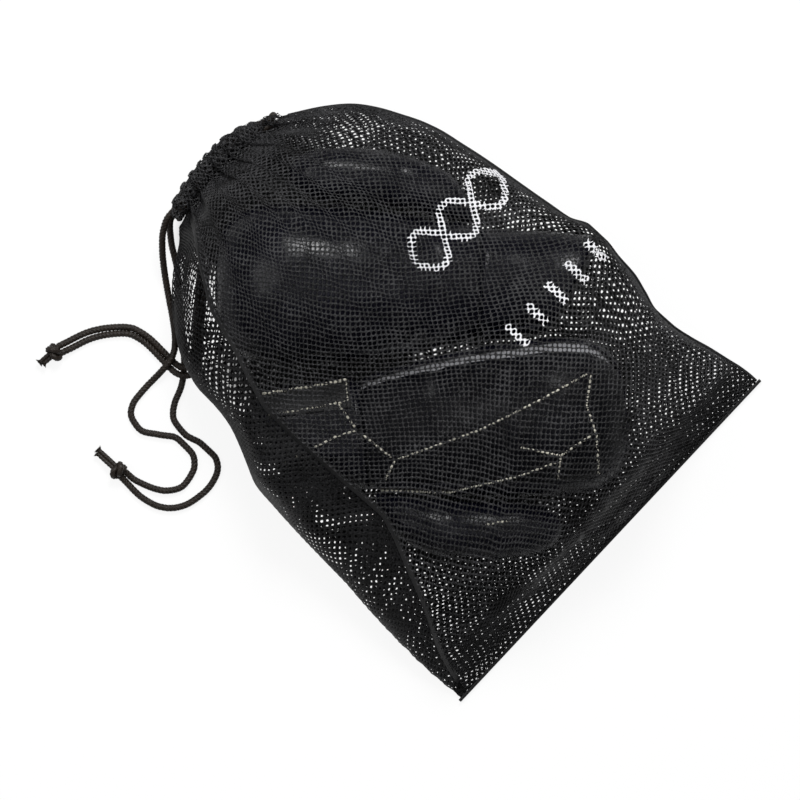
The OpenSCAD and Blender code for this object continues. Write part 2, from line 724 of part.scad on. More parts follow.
module right_cord_upper_tail() {
  color(cord_brown) {
    cord(tail(hem_pt(1, front_z, -cord_off) + [0.9, -0.2, 0], [
      [64, 426, 34.5], [70, 424, 26], [71, 421, 13.5], [65, 418.5, 4.4], [54, 414.5, 2.4],
      [20, 405.5, 2.4], [-20, 398, 2.4], [-58, 384, 2.4], [-92, 360.5, 2.4],
      [-115, 341.5, 3], [-128, 332.5, 6.8], [-137.5, 337, 7.6], [-140.8, 347, 4.4],
      [-140.2, 360, 2.4], [-139.5, 376, 2.4], [-142, 390, 2.4], [-152, 402, 2.4],
      [-168, 413, 2.4], [-184, 419, 3], [-192.6, 422.3, 4.8]
    ]), cord_diameter);
  }
}

module right_cord_lower_tail() {
  color(cord_brown) {
    cord(tail(hem_pt(1, back_z, -cord_off) + [0.9, -0.2, 0], [
      [64, 427, 17], [66, 426, 9], [60, 423.5, 3], [46, 419, 2.4],
      [17, 411, 2.4], [-18, 404, 2.4], [-56, 392, 2.4], [-90, 368, 2.4],
      [-113, 349, 3], [-126.8, 339, 7], [-132.8, 341, 7.6], [-135.3, 349, 4.2],
      [-135, 360, 2.4], [-134.5, 376, 2.4], [-137, 391.5, 2.4], [-148.5, 406, 2.4],
      [-166, 418.5, 2.4], [-183, 425, 3], [-189.7, 427.4, 5.6]
    ]), cord_diameter);
  }
}

// Both tails of a cord end in one knot with a short frayed stub.
module knot(turn) {
  $fn = 24;
  r = cord_diameter / 2;
  rotate([0, 0, turn]) {
    rotate([0, 90, 0]) {
      rotate_extrude() {
        translate([knot_turn, 0]) {
          circle(r);
        }
      }
    }
    rotate([60, 0, 40]) {
      rotate_extrude() {
        translate([knot_turn - 0.6, 0]) {
          circle(r);
        }
      }
    }
    rotate([0, 98, 0]) {
      cylinder(h = 23, r = r);
    }
  }
}

module left_cord_knot() {
  color(cord_brown) {
    translate([-229, 324 - y_mid, knot_turn + cord_diameter / 2 + 0.05]) {
      knot(91);
    }
  }
}

module right_cord_knot() {
  color(cord_brown) {
    translate([-195, 426.5 - y_mid, knot_turn + cord_diameter / 2 + 0.05]) {
      knot(174);
    }
  }
}

// ---- the two gloves, a mirrored pair ----

module left_fist_leather() {
  color(skin_navy) {
    left_place() {
      g_fist_leather(LEFT_SLANT);
    }
  }
}

module left_palm_leather() {
  color(skin_navy) {
    left_place() {
      g_palm_leather(LEFT_SLANT);
    }
  }
}

module left_foam() {
  color(foam_grey) {
    left_place() {
      g_foam(LEFT_SLANT);
    }
  }
}

module left_lining() {
  color(cloth_grey) {
    left_place() {
      g_lining(LEFT_SLANT);
    }
  }
}

module left_grip_bar() {
  color(skin_navy) {
    left_place() {
      g_grip_bar(LEFT_SLANT);
    }
  }
}

module left_thumb() {
  color(skin_navy) {
    left_place() {
      g_thumb(LEFT_SLANT);
    }
  }
}

module left_thumb_tab() {
  color(skin_navy) {
    left_place() {
      g_thumb_tab(LEFT_SLANT);
    }
  }
}

module left_cuff() {
  color(skin_navy) {
    left_place() {
      g_cuff(LEFT_SLANT);
    }
  }
}

module left_cuff_binding() {
  color(tape_black) {
    left_place() {
      g_cuff_binding(LEFT_SLANT);
    }
  }
}

module left_wrist_strap() {
  color(skin_navy) {
    left_place() {
      g_wrist_strap(LEFT_SLANT);
    }
  }
}

module left_hook_patch() {
  color(cloth_grey) {
    left_place() {
      g_hook_patch(LEFT_SLANT);
    }
  }
}

module left_loop_patch() {
  color(cloth_grey) {
    left_place() {
      g_loop_patch(LEFT_SLANT);
    }
  }
}

module left_label() {
  color(label_black) {
    left_place() {
      g_label(LEFT_SLANT);
    }
  }
}

module left_hanging_loop() {
  color(tape_black) {
    left_place() {
      g_hanging_loop(LEFT_SLANT);
    }
  }
}

module right_fist_leather() {
  color(skin_navy) {
    right_place() {
      g_fist_leather(RIGHT_SLANT);
    }
  }
}

module right_palm_leather() {
  color(skin_navy) {
    right_place() {
      g_palm_leather(RIGHT_SLANT);
    }
  }
}

module right_foam() {
  color(foam_grey) {
    right_place() {
      g_foam(RIGHT_SLANT);
    }
  }
}

module right_lining() {
  color(cloth_grey) {
    right_place() {
      g_lining(RIGHT_SLANT);
    }
  }
}

module right_grip_bar() {
  color(skin_navy) {
    right_place() {
      g_grip_bar(RIGHT_SLANT);
    }
  }
}

module right_thumb() {
  color(skin_navy) {
    right_place() {
      g_thumb(RIGHT_SLANT);
    }
  }
}

module right_thumb_tab() {
  color(skin_navy) {
    right_place() {
      g_thumb_tab(RIGHT_SLANT);
    }
  }
}

module right_cuff() {
  color(skin_navy) {
    right_place() {
      g_cuff(RIGHT_SLANT);
    }
  }
}

module right_cuff_binding() {
  color(tape_black) {
    right_place() {
      g_cuff_binding(RIGHT_SLANT);
    }
  }
}

module right_wrist_strap() {
  color(skin_navy) {
    right_place() {
      g_wrist_strap(RIGHT_SLANT);
    }
  }
}

module right_hook_patch() {
  color(cloth_grey) {
    right_place() {
      g_hook_patch(RIGHT_SLANT);
    }
  }
}

module right_loop_patch() {
  color(cloth_grey) {
    right_place() {
      g_loop_patch(RIGHT_SLANT);
    }
  }
}

module right_label() {
  color(label_black) {
    right_place() {
      g_label(RIGHT_SLANT);
    }
  }
}

module right_hanging_loop() {
  color(tape_black) {
    right_place() {
      g_hanging_loop(RIGHT_SLANT);
    }
  }
}

front_net_panel();
back_net_panel();
left_side_seam();
right_side_seam();
bottom_binding();
front_hem_casing();
back_hem_casing();
left_exit_drawcord();
right_exit_drawcord();
left_cord_upper_tail();
left_cord_lower_tail();
right_cord_upper_tail();
right_cord_lower_tail();
left_cord_knot();
right_cord_knot();
left_fist_leather();
left_palm_leather();
left_foam();
left_lining();
left_grip_bar();
left_thumb();
left_thumb_tab();
left_cuff();
left_cuff_binding();
left_wrist_strap();
left_hook_patch();
left_loop_patch();
left_label();
left_hanging_loop();
right_fist_leather();
right_palm_leather();
right_foam();
right_lining();
right_grip_bar();
right_thumb();
right_thumb_tab();
right_cuff();
right_cuff_binding();
right_wrist_strap();
right_hook_patch();
right_loop_patch();
right_label();
right_hanging_loop();
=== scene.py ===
"""Looks of the mesh drawstring bag with a pair of boxing gloves in it.

Lengths are millimetres in the source's frame: u across the bag, v along it from the bottom edge
to the mouth (y = v - Y_MID), z up from the floor. The stage and the frame are told metres.
"""
import math

import bpy
import numpy as np
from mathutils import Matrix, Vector
from mathutils.bvhtree import BVHTree


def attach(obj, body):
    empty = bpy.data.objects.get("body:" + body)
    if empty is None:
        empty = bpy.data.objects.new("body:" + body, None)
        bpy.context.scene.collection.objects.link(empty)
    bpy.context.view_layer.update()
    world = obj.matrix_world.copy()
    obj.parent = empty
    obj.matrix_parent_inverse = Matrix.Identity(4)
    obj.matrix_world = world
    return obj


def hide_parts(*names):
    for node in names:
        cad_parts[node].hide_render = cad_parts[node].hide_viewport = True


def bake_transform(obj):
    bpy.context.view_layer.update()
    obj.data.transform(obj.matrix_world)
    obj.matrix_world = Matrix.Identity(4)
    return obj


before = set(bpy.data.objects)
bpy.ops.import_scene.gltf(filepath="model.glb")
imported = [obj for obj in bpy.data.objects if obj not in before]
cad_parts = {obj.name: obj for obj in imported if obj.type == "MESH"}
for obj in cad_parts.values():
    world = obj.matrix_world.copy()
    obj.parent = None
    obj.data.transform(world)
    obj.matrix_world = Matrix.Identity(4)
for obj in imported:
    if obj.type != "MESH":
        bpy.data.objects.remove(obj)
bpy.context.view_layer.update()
MM = 0.001
TURN = 2 * math.pi
rng = np.random.default_rng(7)


# ---- nodes of a material

def feed(tree, n, inputs):
    """Set a node's inputs: a socket is linked, anything else is a plain value."""
    for key, value in inputs.items():
        if isinstance(value, bpy.types.NodeSocket):
            tree.links.new(value, n.inputs[key])
        else:
            n.inputs[key].default_value = value


def node(tree, kind, inputs=None, **settings):
    n = tree.nodes.new("ShaderNode" + kind)
    for key, value in settings.items():
        setattr(n, key, value)
    feed(tree, n, inputs or {})
    return n


def maths(tree, operation, *terms, clamp=False):
    return node(tree, "Math", dict(enumerate(terms)), operation=operation,
                use_clamp=clamp).outputs[0]


# ---- camera, light, floor

SENSOR, AWAY, VIEW_WIDTH, VIEW_TURN = 36, 6.0, 0.64, 46.86
WHITE = (1, 1, 1, 1)
ROOM_LIGHT, FLOOR_GLOW, SHADE_EDGE = 0.3, 0.88, 3.0
# area lamps: name, place, size, power
LAMPS = [("key", (-0.9, 1.3, 1.9), 0.9, 12), ("fill", (1.4, -0.6, 1.5), 1.6, 6),
         ("top", (0.1, 0.2, 2.4), 2.2, 10), ("gloss", (1.2, 1.0, 1.9), 0.8, 50)]
# painted shade: soft ellipses on the floor where its glow is taken out, under the gloves and in the
# gaps round them: x, y, half length, half width in metres, turn in degrees
PAINTED_SHADE = [(-0.058, 0.036, 0.100, 0.042, -46.9), (0.006, 0.170, 0.082, 0.052, 0),
          (0.076, 0.085, 0.068, 0.018, -49.9), (-0.041, -0.124, 0.088, 0.019, -44.9),
          (0.035, 0.151, 0.048, 0.032, -86.9)]


def make_stage():
    scene = bpy.context.scene
    scene.view_settings.view_transform = "Standard"

    def put(name, data):
        o = bpy.data.objects.new(name, data)
        scene.collection.objects.link(o)
        return o

    scene.camera = put("view", bpy.data.cameras.new("view"))
    scene.camera.data.lens = SENSOR * AWAY / VIEW_WIDTH
    scene.camera.data.clip_end = 20
    scene.camera.location = (-0.0332, -0.0234, 0.03 + AWAY)
    scene.camera.rotation_euler = (0, 0, -math.radians(VIEW_TURN))
    for name, spot, size, power in LAMPS:
        light = bpy.data.lights.new(name, "AREA")
        light.size, light.energy = size, power
        lamp = put(name, light)
        lamp.location = spot
        lamp.rotation_euler = (-Vector(spot)).to_track_quat("-Z", "Y").to_euler()

    scene.world = bpy.data.worlds.new("room")
    scene.world.use_nodes = True
    t = scene.world.node_tree
    t.nodes.clear()
    ray = node(t, "LightPath").outputs["Is Camera Ray"]
    room, seen = [node(t, "Background", {0: WHITE, 1: k}).outputs[0] for k in (ROOM_LIGHT, 1.0)]
    node(t, "OutputWorld", {0: node(t, "MixShader", {0: ray, 1: room, 2: seen}).outputs[0]})

    mesh = bpy.data.meshes.new("floor")
    mesh.from_pydata([(-6, -6, 0), (6, -6, 0), (6, 6, 0), (-6, 6, 0)], [], [(0, 1, 2, 3)])
    floor = put("floor", mesh)
    m = bpy.data.materials.new("floor")
    m.use_nodes = True
    t = m.node_tree
    t.nodes.clear()
    # painted shade: the glow fades out in soft ellipses under the gloves and in the gaps round
    # them, so the floor seen there stays dark as if in their shadow
    place = node(t, "TexCoord").outputs["Object"]
    shade = 0.0
    for x, y, long, wide, turn in PAINTED_SHADE:
        at = node(t, "Mapping", {"Vector": place, "Location": (x, y, 0), "Scale": (long, wide, 1),
                                 "Rotation": (0, 0, math.radians(turn))}, vector_type="TEXTURE")
        ball = node(t, "TexGradient", {"Vector": at.outputs["Vector"]}, gradient_type="SPHERICAL")
        edge = maths(t, "MULTIPLY", ball.outputs["Fac"], SHADE_EDGE, clamp=True)
        shade = maths(t, "MAXIMUM", shade, edge)
    ray = node(t, "LightPath").outputs
    seen = maths(t, "MAXIMUM", ray["Is Camera Ray"], ray["Is Glossy Ray"])
    lit = maths(t, "MULTIPLY", maths(t, "MULTIPLY", seen, FLOOR_GLOW),
                maths(t, "SUBTRACT", 1.0, shade))
    matt = node(t, "BsdfDiffuse", {0: (0.92, 0.92, 0.92, 1)}).outputs[0]
    glow = node(t, "Emission", {1: 1.0}).outputs[0]
    node(t, "OutputMaterial", {0: node(t, "MixShader", {0: lit, 1: matt, 2: glow}).outputs[0]})
    mesh.materials.append(m)
    floor.location.z = -0.0003


make_stage()


# ---- materials

def finish_of(name, colour, rough, spread, scale, bump, depth, grain, grain_scale,
              sheen=0.0, spec=0.5, fleck_and_glint=0.3, glint_sharp=0.0):
    """A finish: cloudy colour with fine flecks, uneven roughness and a grain in the bump. On the
    net the wide, sharp flecks are painted glints on the strands and the cloudy patches painted
    sheen.
    """
    m = bpy.data.materials.new(name)
    m.use_nodes = True
    t = m.node_tree
    p = t.nodes["Principled BSDF"]
    place = node(t, "TexCoord").outputs["Object"]
    cloud = node(t, "TexNoise", {"Vector": place, "Scale": scale, "Detail": 5}).outputs["Fac"]
    thread = node(t, "TexNoise", {"Vector": place, "Scale": grain_scale * 0.8, "Detail": 2})
    both = maths(t, "MULTIPLY_ADD", thread.outputs["Fac"], fleck_and_glint,
                 maths(t, "MULTIPLY", cloud, 1 - fleck_and_glint))
    ramp = node(t, "ValToRGB", {"Fac": both})
    low, high = ramp.color_ramp.elements
    low.position, high.position = 0.3 + 0.2 * glint_sharp, 0.7 - 0.1 * glint_sharp
    low.color = (*[c * max(0.1, 1 - spread) for c in colour], 1)
    high.color = (*[min(1, c * (1 + spread)) for c in colour], 1)
    uneven = node(t, "MapRange", {"Value": cloud, "To Min": max(0.03, rough - 0.08),
                                  "To Max": min(1, rough + 0.08)})
    if grain == "noise":
        g = node(t, "TexNoise", {"Detail": 3})
        height = g.outputs["Fac"]
    else:
        g = node(t, "TexVoronoi", feature="DISTANCE_TO_EDGE" if grain == "cells" else "F1")
        height = g.outputs["Distance"]
    feed(t, g, {"Vector": place, "Scale": grain_scale})
    grained = node(t, "Bump", {"Strength": bump, "Distance": depth * MM, "Height": height})
    feed(t, p, {"Base Color": ramp.outputs["Color"], "Roughness": uneven.outputs["Result"],
                "Normal": grained.outputs["Normal"], "Specular IOR Level": spec})
    if sheen:
        feed(t, p, {"Sheen Weight": sheen, "Sheen Roughness": 0.45})
    return m


# painted glints and sheen: the net's colour runs from near black to about three times its base in
# sharp flecks and soft patches, standing in for glints on the strands and lighter sheen patches
NET = finish_of("net_black", (0.0135, 0.0135, 0.0143), 0.46, 2.2, 34, 0.8, 0.4,
                "noise", 1100, spec=0.14, fleck_and_glint=0.7, glint_sharp=0.6)
# painted shade: a darker copy of the net's finish for the back panel, standing for the same cloth
# where it lies in the shade of the bag; it keeps the net's painted glints and sheen
NET_IN_PAINTED_SHADE = finish_of("net_black_painted_shade", (0.0075, 0.0075, 0.008), 0.45, 1.5, 34, 0.8, 0.4,
                  "noise", 1100, spec=0.1, fleck_and_glint=0.7, glint_sharp=0.6)
PRINT = finish_of("net_print_white", (0.63, 0.63, 0.65), 0.6, 0.06, 90, 0.4, 0.2,
                  "noise", 1500, spec=0.35)
TAPE = finish_of("seam_tape", (0.006, 0.006, 0.0065), 0.6, 0.3, 80, 0.6, 0.3,
                 "noise", 1400, spec=0.25)
CORD = finish_of("braided_cord", (0.0135, 0.0098, 0.0072), 0.45, 0.5, 160, 0.6, 0.2,
                 "noise", 2400, spec=0.22, fleck_and_glint=0.5)
SKIN = finish_of("navy_leather", (0.0022, 0.0022, 0.0068), 0.24, 0.25, 25, 0.25, 0.25,
                 "cells", 620, spec=0.26, fleck_and_glint=0.2)
PALM = finish_of("black_leather", (0.002, 0.002, 0.004), 0.32, 0.25, 25, 0.35, 0.3,
                 "cells", 680, spec=0.12, fleck_and_glint=0.2)
FOAM = finish_of("foam", (0.36, 0.36, 0.38), 0.9, 0.1, 60, 0.6, 0.6, "spots", 900)
CLOTH = finish_of("lining_cloth", (0.016, 0.016, 0.019), 0.85, 0.2, 80, 0.5, 0.3,
                  "noise", 1600, sheen=0.2)
LABEL = finish_of("label_cloth", (0.007, 0.007, 0.008), 0.6, 0.25, 70, 0.5, 0.25,
                  "noise", 1800, sheen=0.1)
THREAD = finish_of("cream_thread", (0.8, 0.77, 0.66), 0.6, 0.2, 300, 0.5, 0.2, "noise", 2500)


# ---- small tools

def smooth(t):
    c = np.clip(t, 0, 1)
    return c * c * (3 - 2 * c)


def mix(a, b, t):
    return a + (b - a) * t


def spow(a, e):
    return np.sign(a) * np.abs(a) ** e


def unit(v):
    return v / np.maximum(1e-12, np.linalg.norm(v, axis=-1, keepdims=True))


def dent(v, at, width):
    """1 on a line at `at`, falling to 0 over `width`."""
    return np.exp(-((v - at) / width) ** 2)


def wobble(p, size, seed):
    """Smooth uneven values over points, from a few sines, about -1 to 1."""
    r = np.random.default_rng(seed)
    out = np.zeros(p.shape[:-1])
    for _ in range(7):
        k = r.normal(size=3)
        k *= TURN / size / np.linalg.norm(k)
        out += np.sin(p @ k + r.uniform(0, 6.28))
    return out / 3


def line(points):
    """A curve through [x, y] points that doesn't overshoot."""
    x, y = np.array(points, float).T
    h = np.diff(x)
    d = np.diff(y) / h
    m = np.zeros(len(x))
    m[0], m[-1] = d[0], d[-1]
    same = d[:-1] * d[1:] > 0
    w1, w2 = 2 * h[1:] + h[:-1], h[1:] + 2 * h[:-1]
    with np.errstate(divide="ignore", invalid="ignore"):
        m[1:-1] = np.where(same, (w1 + w2) / (w1 / d[:-1] + w2 / d[1:]), 0)

    def at(q):
        q = np.clip(q, x[0], x[-1])
        k = np.clip(np.searchsorted(x, q, side="right") - 1, 0, len(h) - 1)
        t = (q - x[k]) / h[k]
        a, b = (1 + 2 * t) * (1 - t) ** 2, t * (1 - t) ** 2
        c, e = t * t * (3 - 2 * t), t * t * (t - 1)
        return a * y[k] + b * h[k] * m[k] + c * y[k + 1] + e * h[k] * m[k + 1]

    return at


def lookup(points):
    """Straight lines between [x, y] points."""
    x, y = np.array(points, float).T
    return lambda q: np.interp(q, x, y)


def run(p):
    """Length along a polyline from its start to each of its points."""
    return np.concatenate([[0], np.cumsum(np.linalg.norm(np.diff(p, axis=0), axis=1))])


def length_of(p):
    return float(np.linalg.norm(np.diff(p, axis=0), axis=1).sum())


def resample(p, n):
    """n points at even lengths along a polyline p[k, 3]."""
    s = run(p)
    s += np.arange(len(s)) * 1e-9
    q = np.linspace(0, 1, n) * s[-1]
    return np.stack([line(np.stack([s, p[:, k]], 1))(q) for k in range(3)], 1)


def make(name, verts, faces, material):
    """An object from points in millimetres and a list of faces."""
    mesh = bpy.data.meshes.new(name)
    mesh.from_pydata((verts * MM).tolist(), [], faces)
    mesh.validate()
    mesh.polygons.foreach_set("use_smooth", [True] * len(mesh.polygons))
    mesh.materials.append(material)
    o = bpy.data.objects.new(name, mesh)
    bpy.context.scene.collection.objects.link(o)
    return o


def stand_for(o, cad_node, body=None):
    """The piece replaces a CAD node, which is hidden, and rides on a body."""
    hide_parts(cad_node)
    if body:
        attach(o, body)
    return o


def grid_faces(r, c, ring=False, base=0, turn=False):
    i, j = np.meshgrid(np.arange(r - 1), np.arange(c if ring else c - 1), indexing="ij")
    k = (j + 1) % c
    f = np.stack([i * c + j, i * c + k, (i + 1) * c + k, (i + 1) * c + j], -1).reshape(-1, 4)
    return (base + (f[:, ::-1] if turn else f)).tolist()


def slab(a, b, ring=False):
    """A closed sheet between two equal grids of points [r, c, 3]."""
    r, c = a.shape[:2]
    s, e = r * c, (r - 1) * c
    f = grid_faces(r, c, ring) + grid_faces(r, c, ring, s, True)
    along = [(j, (j + 1) % c) for j in range(c if ring else c - 1)]
    f += [[j, s + j, s + k, k] for j, k in along]
    f += [[e + j, e + k, s + e + k, s + e + j] for j, k in along]
    if not ring:
        f += [[i, i + c, s + i + c, s + i] for i in range(0, e, c)]
        f += [[i, s + i, s + i + c, i + c] for i in range(c - 1, s - 1, c)]
    return np.concatenate([a.reshape(-1, 3), b.reshape(-1, 3)]), f


def loft(v):
    """A closed body through rings of points [r, c, 3]."""
    r, c = v.shape[:2]
    f = grid_faces(r, c, True) + [list(range(c))[::-1], list(range((r - 1) * c, r * c))]
    return v.reshape(-1, 3), f


def pocket(outer, inner):
    """A closed body between two sets of rings, open at its first ring, shut at its last."""
    r, c = outer.shape[:2]
    s, e = r * c, (r + len(inner)) * c
    f = grid_faces(r, c, True) + grid_faces(len(inner), c, True, s, True)
    f += [[j, s + j, s + (j + 1) % c, (j + 1) % c] for j in range(c)]
    f += [list(range(s - c, s)), list(range(e - c, e))[::-1]]
    return np.concatenate([outer.reshape(-1, 3), inner.reshape(-1, 3)]), f


def tube(p, radius, sides):
    """A closed tube of rings round route p, without twist. radius is a value or [rings, 1]."""
    a = np.array([0, 1, 0.2])
    side = []
    tangents = unit(np.gradient(p, axis=0))
    for t in tangents:
        a = a - (a @ t) * t
        a = a / np.linalg.norm(a)
        side.append(a)
    side = np.array(side)
    other = np.cross(tangents, side)
    w = np.arange(sides) * TURN / sides
    ring = np.cos(w)[None, :, None] * side[:, None] + np.sin(w)[None, :, None] * other[:, None]
    r = np.broadcast_to(np.asarray(radius, float), (len(p), sides))
    v = p[:, None] + ring * r[..., None]
    n = len(p) * sides
    verts = np.concatenate([v.reshape(-1, 3), p[:1], p[-1:]])
    faces = grid_faces(len(p), sides, True)
    for j in range(sides):
        k = (j + 1) % sides
        faces += [[n, k, j], [n + 1, n - sides + j, n - sides + k]]
    return verts, faces


def gather(parts):
    """One mesh from several (points, faces)."""
    verts, faces, base = [], [], 0
    for v, f in parts:
        verts.append(v)
        faces += [[base + k for k in q] for q in f]
        base += len(v)
    return np.concatenate(verts), faces


# ---- sizes shared with the source

BAG_WIDTH, BAG_LENGTH, EDGE_HEIGHT, NET_THICK = 353, 450, 30, 1
MOUTH_WIDTH, HEM_Z, HEM_RADIUS, HEM_ARCH, CORD_D, KNOT_TURN = 100, 28, 8.2, 7, 4.5, 5
LEATHER, LINING, STRAP_WIDTH, STRAP_THICK, LABEL_LENGTH = 1.5, 1, 76, 2.4, 70
SEAT, NET_ROOM = 0.28, 4
Y_MID = BAG_LENGTH / 2 - 4
HEM_V = BAG_LENGTH - 4 - HEM_RADIUS - HEM_ARCH
MOUTH_V = HEM_V - 1.06 * HEM_RADIUS - SEAT - 0.1
MID, HALF_MOUTH = 8, MOUTH_WIDTH / 2
HEM_REACH = HALF_MOUTH + 14
FRONT_Z, BACK_Z = HEM_Z + HEM_RADIUS + SEAT / 2, HEM_Z - HEM_RADIUS - SEAT / 2
CORD_OFF = CORD_D / 2 + 0.2
LAID = 2.4  # height of a cord that lies on the floor

# the glove along its length: half widths, heights over and under its middle, the hand's hollow
side_p = line([
    [0,38],[20,40],[75,43],[110,49],[150,55],[200,60],[240,62],[262,61],[276,56],[286,48],[293,36],
    [296,24]])
side_m = line([
    [0,37],[20,38],[75,43],[110,51],[150,58],[200,63],[240,64],[262,62],[276,57],[286,49],[293,37],
    [296,24]])
back_h = line([
    [0,36],[20,35],[75,38],[110,44],[150,52],[200,57],[240,56],[262,50],[276,42],[286,32],[293,21],
    [296,11]])
palm_h = line([
    [0,36],[20,35],[75,33],[110,34],[150,38],[190,48],[225,57],[245,59],[262,56],[276,48],[286,37],
    [293,24],[296,12]])
hand_w = line([[0,34],[75,37],[110,42],[150,46],[200,44],[215,34],[224,20]])
hand_h = line([[0,31],[75,28],[110,27],[150,26],[200,22],[215,17],[224,9]])
hand_z = line([[0,0],[75,1],[110,1],[150,-1],[200,-6],[224,-8]])
thumb_r = line([
    [92,7],[103,16],[118,20.5],[138,22.5],[160,23],[184,23],[206,22],[221,18.5],[231,12.5],[237,6]])
thumb_gap = lookup([[92,1],[118,1],[145,3],[206,3],[221,6],[237,17]])
GLOVE_LENGTH, FIST_X, STRAP_X, THUMB_Z, THUMB_FROM, THUMB_TO = 296, 88, 45.5, -5, 92, 237
CUFF_FROM, CUFF_TO = 4, 87
SHIFT = 6  # how far a glove slides in the bag
BOXY = 0.87  # how far the glove's round is from a box
STRAP_RISE = 2.2
LABEL_LOW = SEAT + STRAP_RISE + STRAP_THICK + 0.25
LABEL_THICK = 0.9
TILT = math.radians(5.1)
SIDES = ("left", "right")
# where a glove lies: plan point of its cuff, turn, slant of the cuff's end, height
LIE = {"left": ((137, 153), math.radians(133.1), (-0.5, 9), 38.4873),
       "right": ((-136.3, 257), math.radians(-41.9), (0.35, 10), 40.1884)}
SLANT = {side: lie[2] for side, lie in LIE.items()}


def thumb_y(x):
    return side_p(x) + thumb_gap(x) + thumb_r(x)


def turn_z(a):
    return np.array([[math.cos(a), -math.sin(a), 0], [math.sin(a), math.cos(a), 0], [0, 0, 1]])


def placed(side, p):
    """Points of a glove's own frame in the bag's: the left one palm down, the right palm up."""
    (u, v), turn, _, z = LIE[side]
    nose_up = np.array([[math.cos(TILT), 0, -math.sin(TILT)], [0, 1, 0],
                        [math.sin(TILT), 0, math.cos(TILT)]])
    flip = np.diag([1, -1, 1 if side == "left" else -1])
    return p @ (turn_z(turn) @ nose_up @ flip).T + np.array([u, v - Y_MID, z])


# ---- drawcords

HEM_DROOP = 5.5  # how far the hem's right end falls back
# routes from the hem to the knot; a point [u, v] lies on the floor
ROUTES = {
    "left_cord_upper_tail": [
        [-52,433,35],[-63,429,29],[-76,418.5,20],[-89,404,8],[-99,391,3],[-110,376],
        [-121,363,3],[-129,356.5,7],[-138,353.5,9],[-149,353.2,6.5],[-162,353.6],[-178,353],
        [-190,347],[-193.5,334],[-186,320],[-178,306],[-178.5,291],[-188,280],[-202,277.5],
        [-215,285],[-223,300],[-226.2,313,3],[-226.2,318.8,5]],
    "left_cord_lower_tail": [
        [-52,431.5,15],[-65,420,5],[-79,400],[-97,381],[-118,357],[-134,341],[-146,333],
        [-160,327.5],[-169.5,318.5],[-171.5,304],[-168,290],[-168,276],[-176,265],[-191,261.5],
        [-208,264],[-222,272],[-230,285],[-232.5,300],[-231.8,313,3],[-231.5,320.6,5.8]],
    "right_cord_upper_tail": [
        [60.5,420,34.5],[62,417.5,26],[62,415.5,13.5],[59,414.8,4.4],[54,414.5],[20,405.5],
        [-20,398],[-58,384],[-92,360.5],[-115,341.5,3],[-128,332.5,6.8],[-137.5,337,7.6],
        [-140.8,347,4.4],[-140.2,360],[-139.5,376],[-142,390],[-152,402],[-168,413],
        [-184,419,3],[-192.6,422.3,4.8]],
    "right_cord_lower_tail": [
        [60,420.5,17],[59.5,419,9],[54.5,417.5,3],[46,419],[17,411],[-18,404],[-56,392],
        [-90,368],[-113,349,3],[-126.8,339,7],[-132.8,341,7.6],[-135.3,349,4.2],[-135,360],
        [-134.5,376],[-137,391.5],[-148.5,406],[-166,418.5],[-183,425,3],[-189.7,427.4,5.6]],
}
# plan point of the knot, its turn, reach of its ends, where its cords begin to move with it
KNOTS = {"left": ((-229, 324), 91, 21, (-0.075, 0.18, 0.01)),
         "right": ((-195, 426.5), 174, 12, (-0.13, 0.125, 0.01))}


def hem_pt(t, z, off):
    """A point of the hem's arch at t, -1 to 1 from left to right, set off along the bag."""
    droop = HEM_DROOP * smooth((t - 0.2) / 0.8)
    return [MID + HALF_MOUTH * t, HEM_V + HEM_ARCH * (1 - t * t) - droop + off - Y_MID, z]


def tail(name, route):
    """A free cord's route, from the end of the hem on."""
    s = -1 if name.startswith("left") else 1
    start = np.array(hem_pt(s, FRONT_Z if "upper" in name else BACK_Z, -s * CORD_OFF))
    p = np.array([start + [0.9 * s, -0.2, 0]]
                 + [[u, v - Y_MID, *(z or [LAID])] for u, v, *z in route], float)
    q = resample(p, 14 * len(p))
    # round the corners between the points a little, with both ends kept
    for _ in range(6):
        q[1:-1] = 0.25 * q[:-2] + 0.5 * q[1:-1] + 0.25 * q[2:]
    return q


def braid(p, d, step=0.45, sides=30):
    """A round braid: strands of two hands cross over and under along the cord.

    The braid is loose, so it lies a little wider than the cord pulled taut."""
    n = max(8, int(length_of(p) / step))
    q = resample(p, n)
    s = np.linspace(0, length_of(q), n)[:, None]
    w = (np.arange(sides) * TURN / sides)[None]
    one, two = 5 * w + s * 2.1, 5 * w - s * 2.1
    strand = np.where(np.sin(one) * np.sin(two) > 0, np.cos(one), np.cos(two))
    r = d / 2 * 1.2 * (0.93 + 0.12 * strand)
    v, f = tube(q, r, sides)
    v[:, 2] = np.maximum(v[:, 2], 0.02)
    return v, f


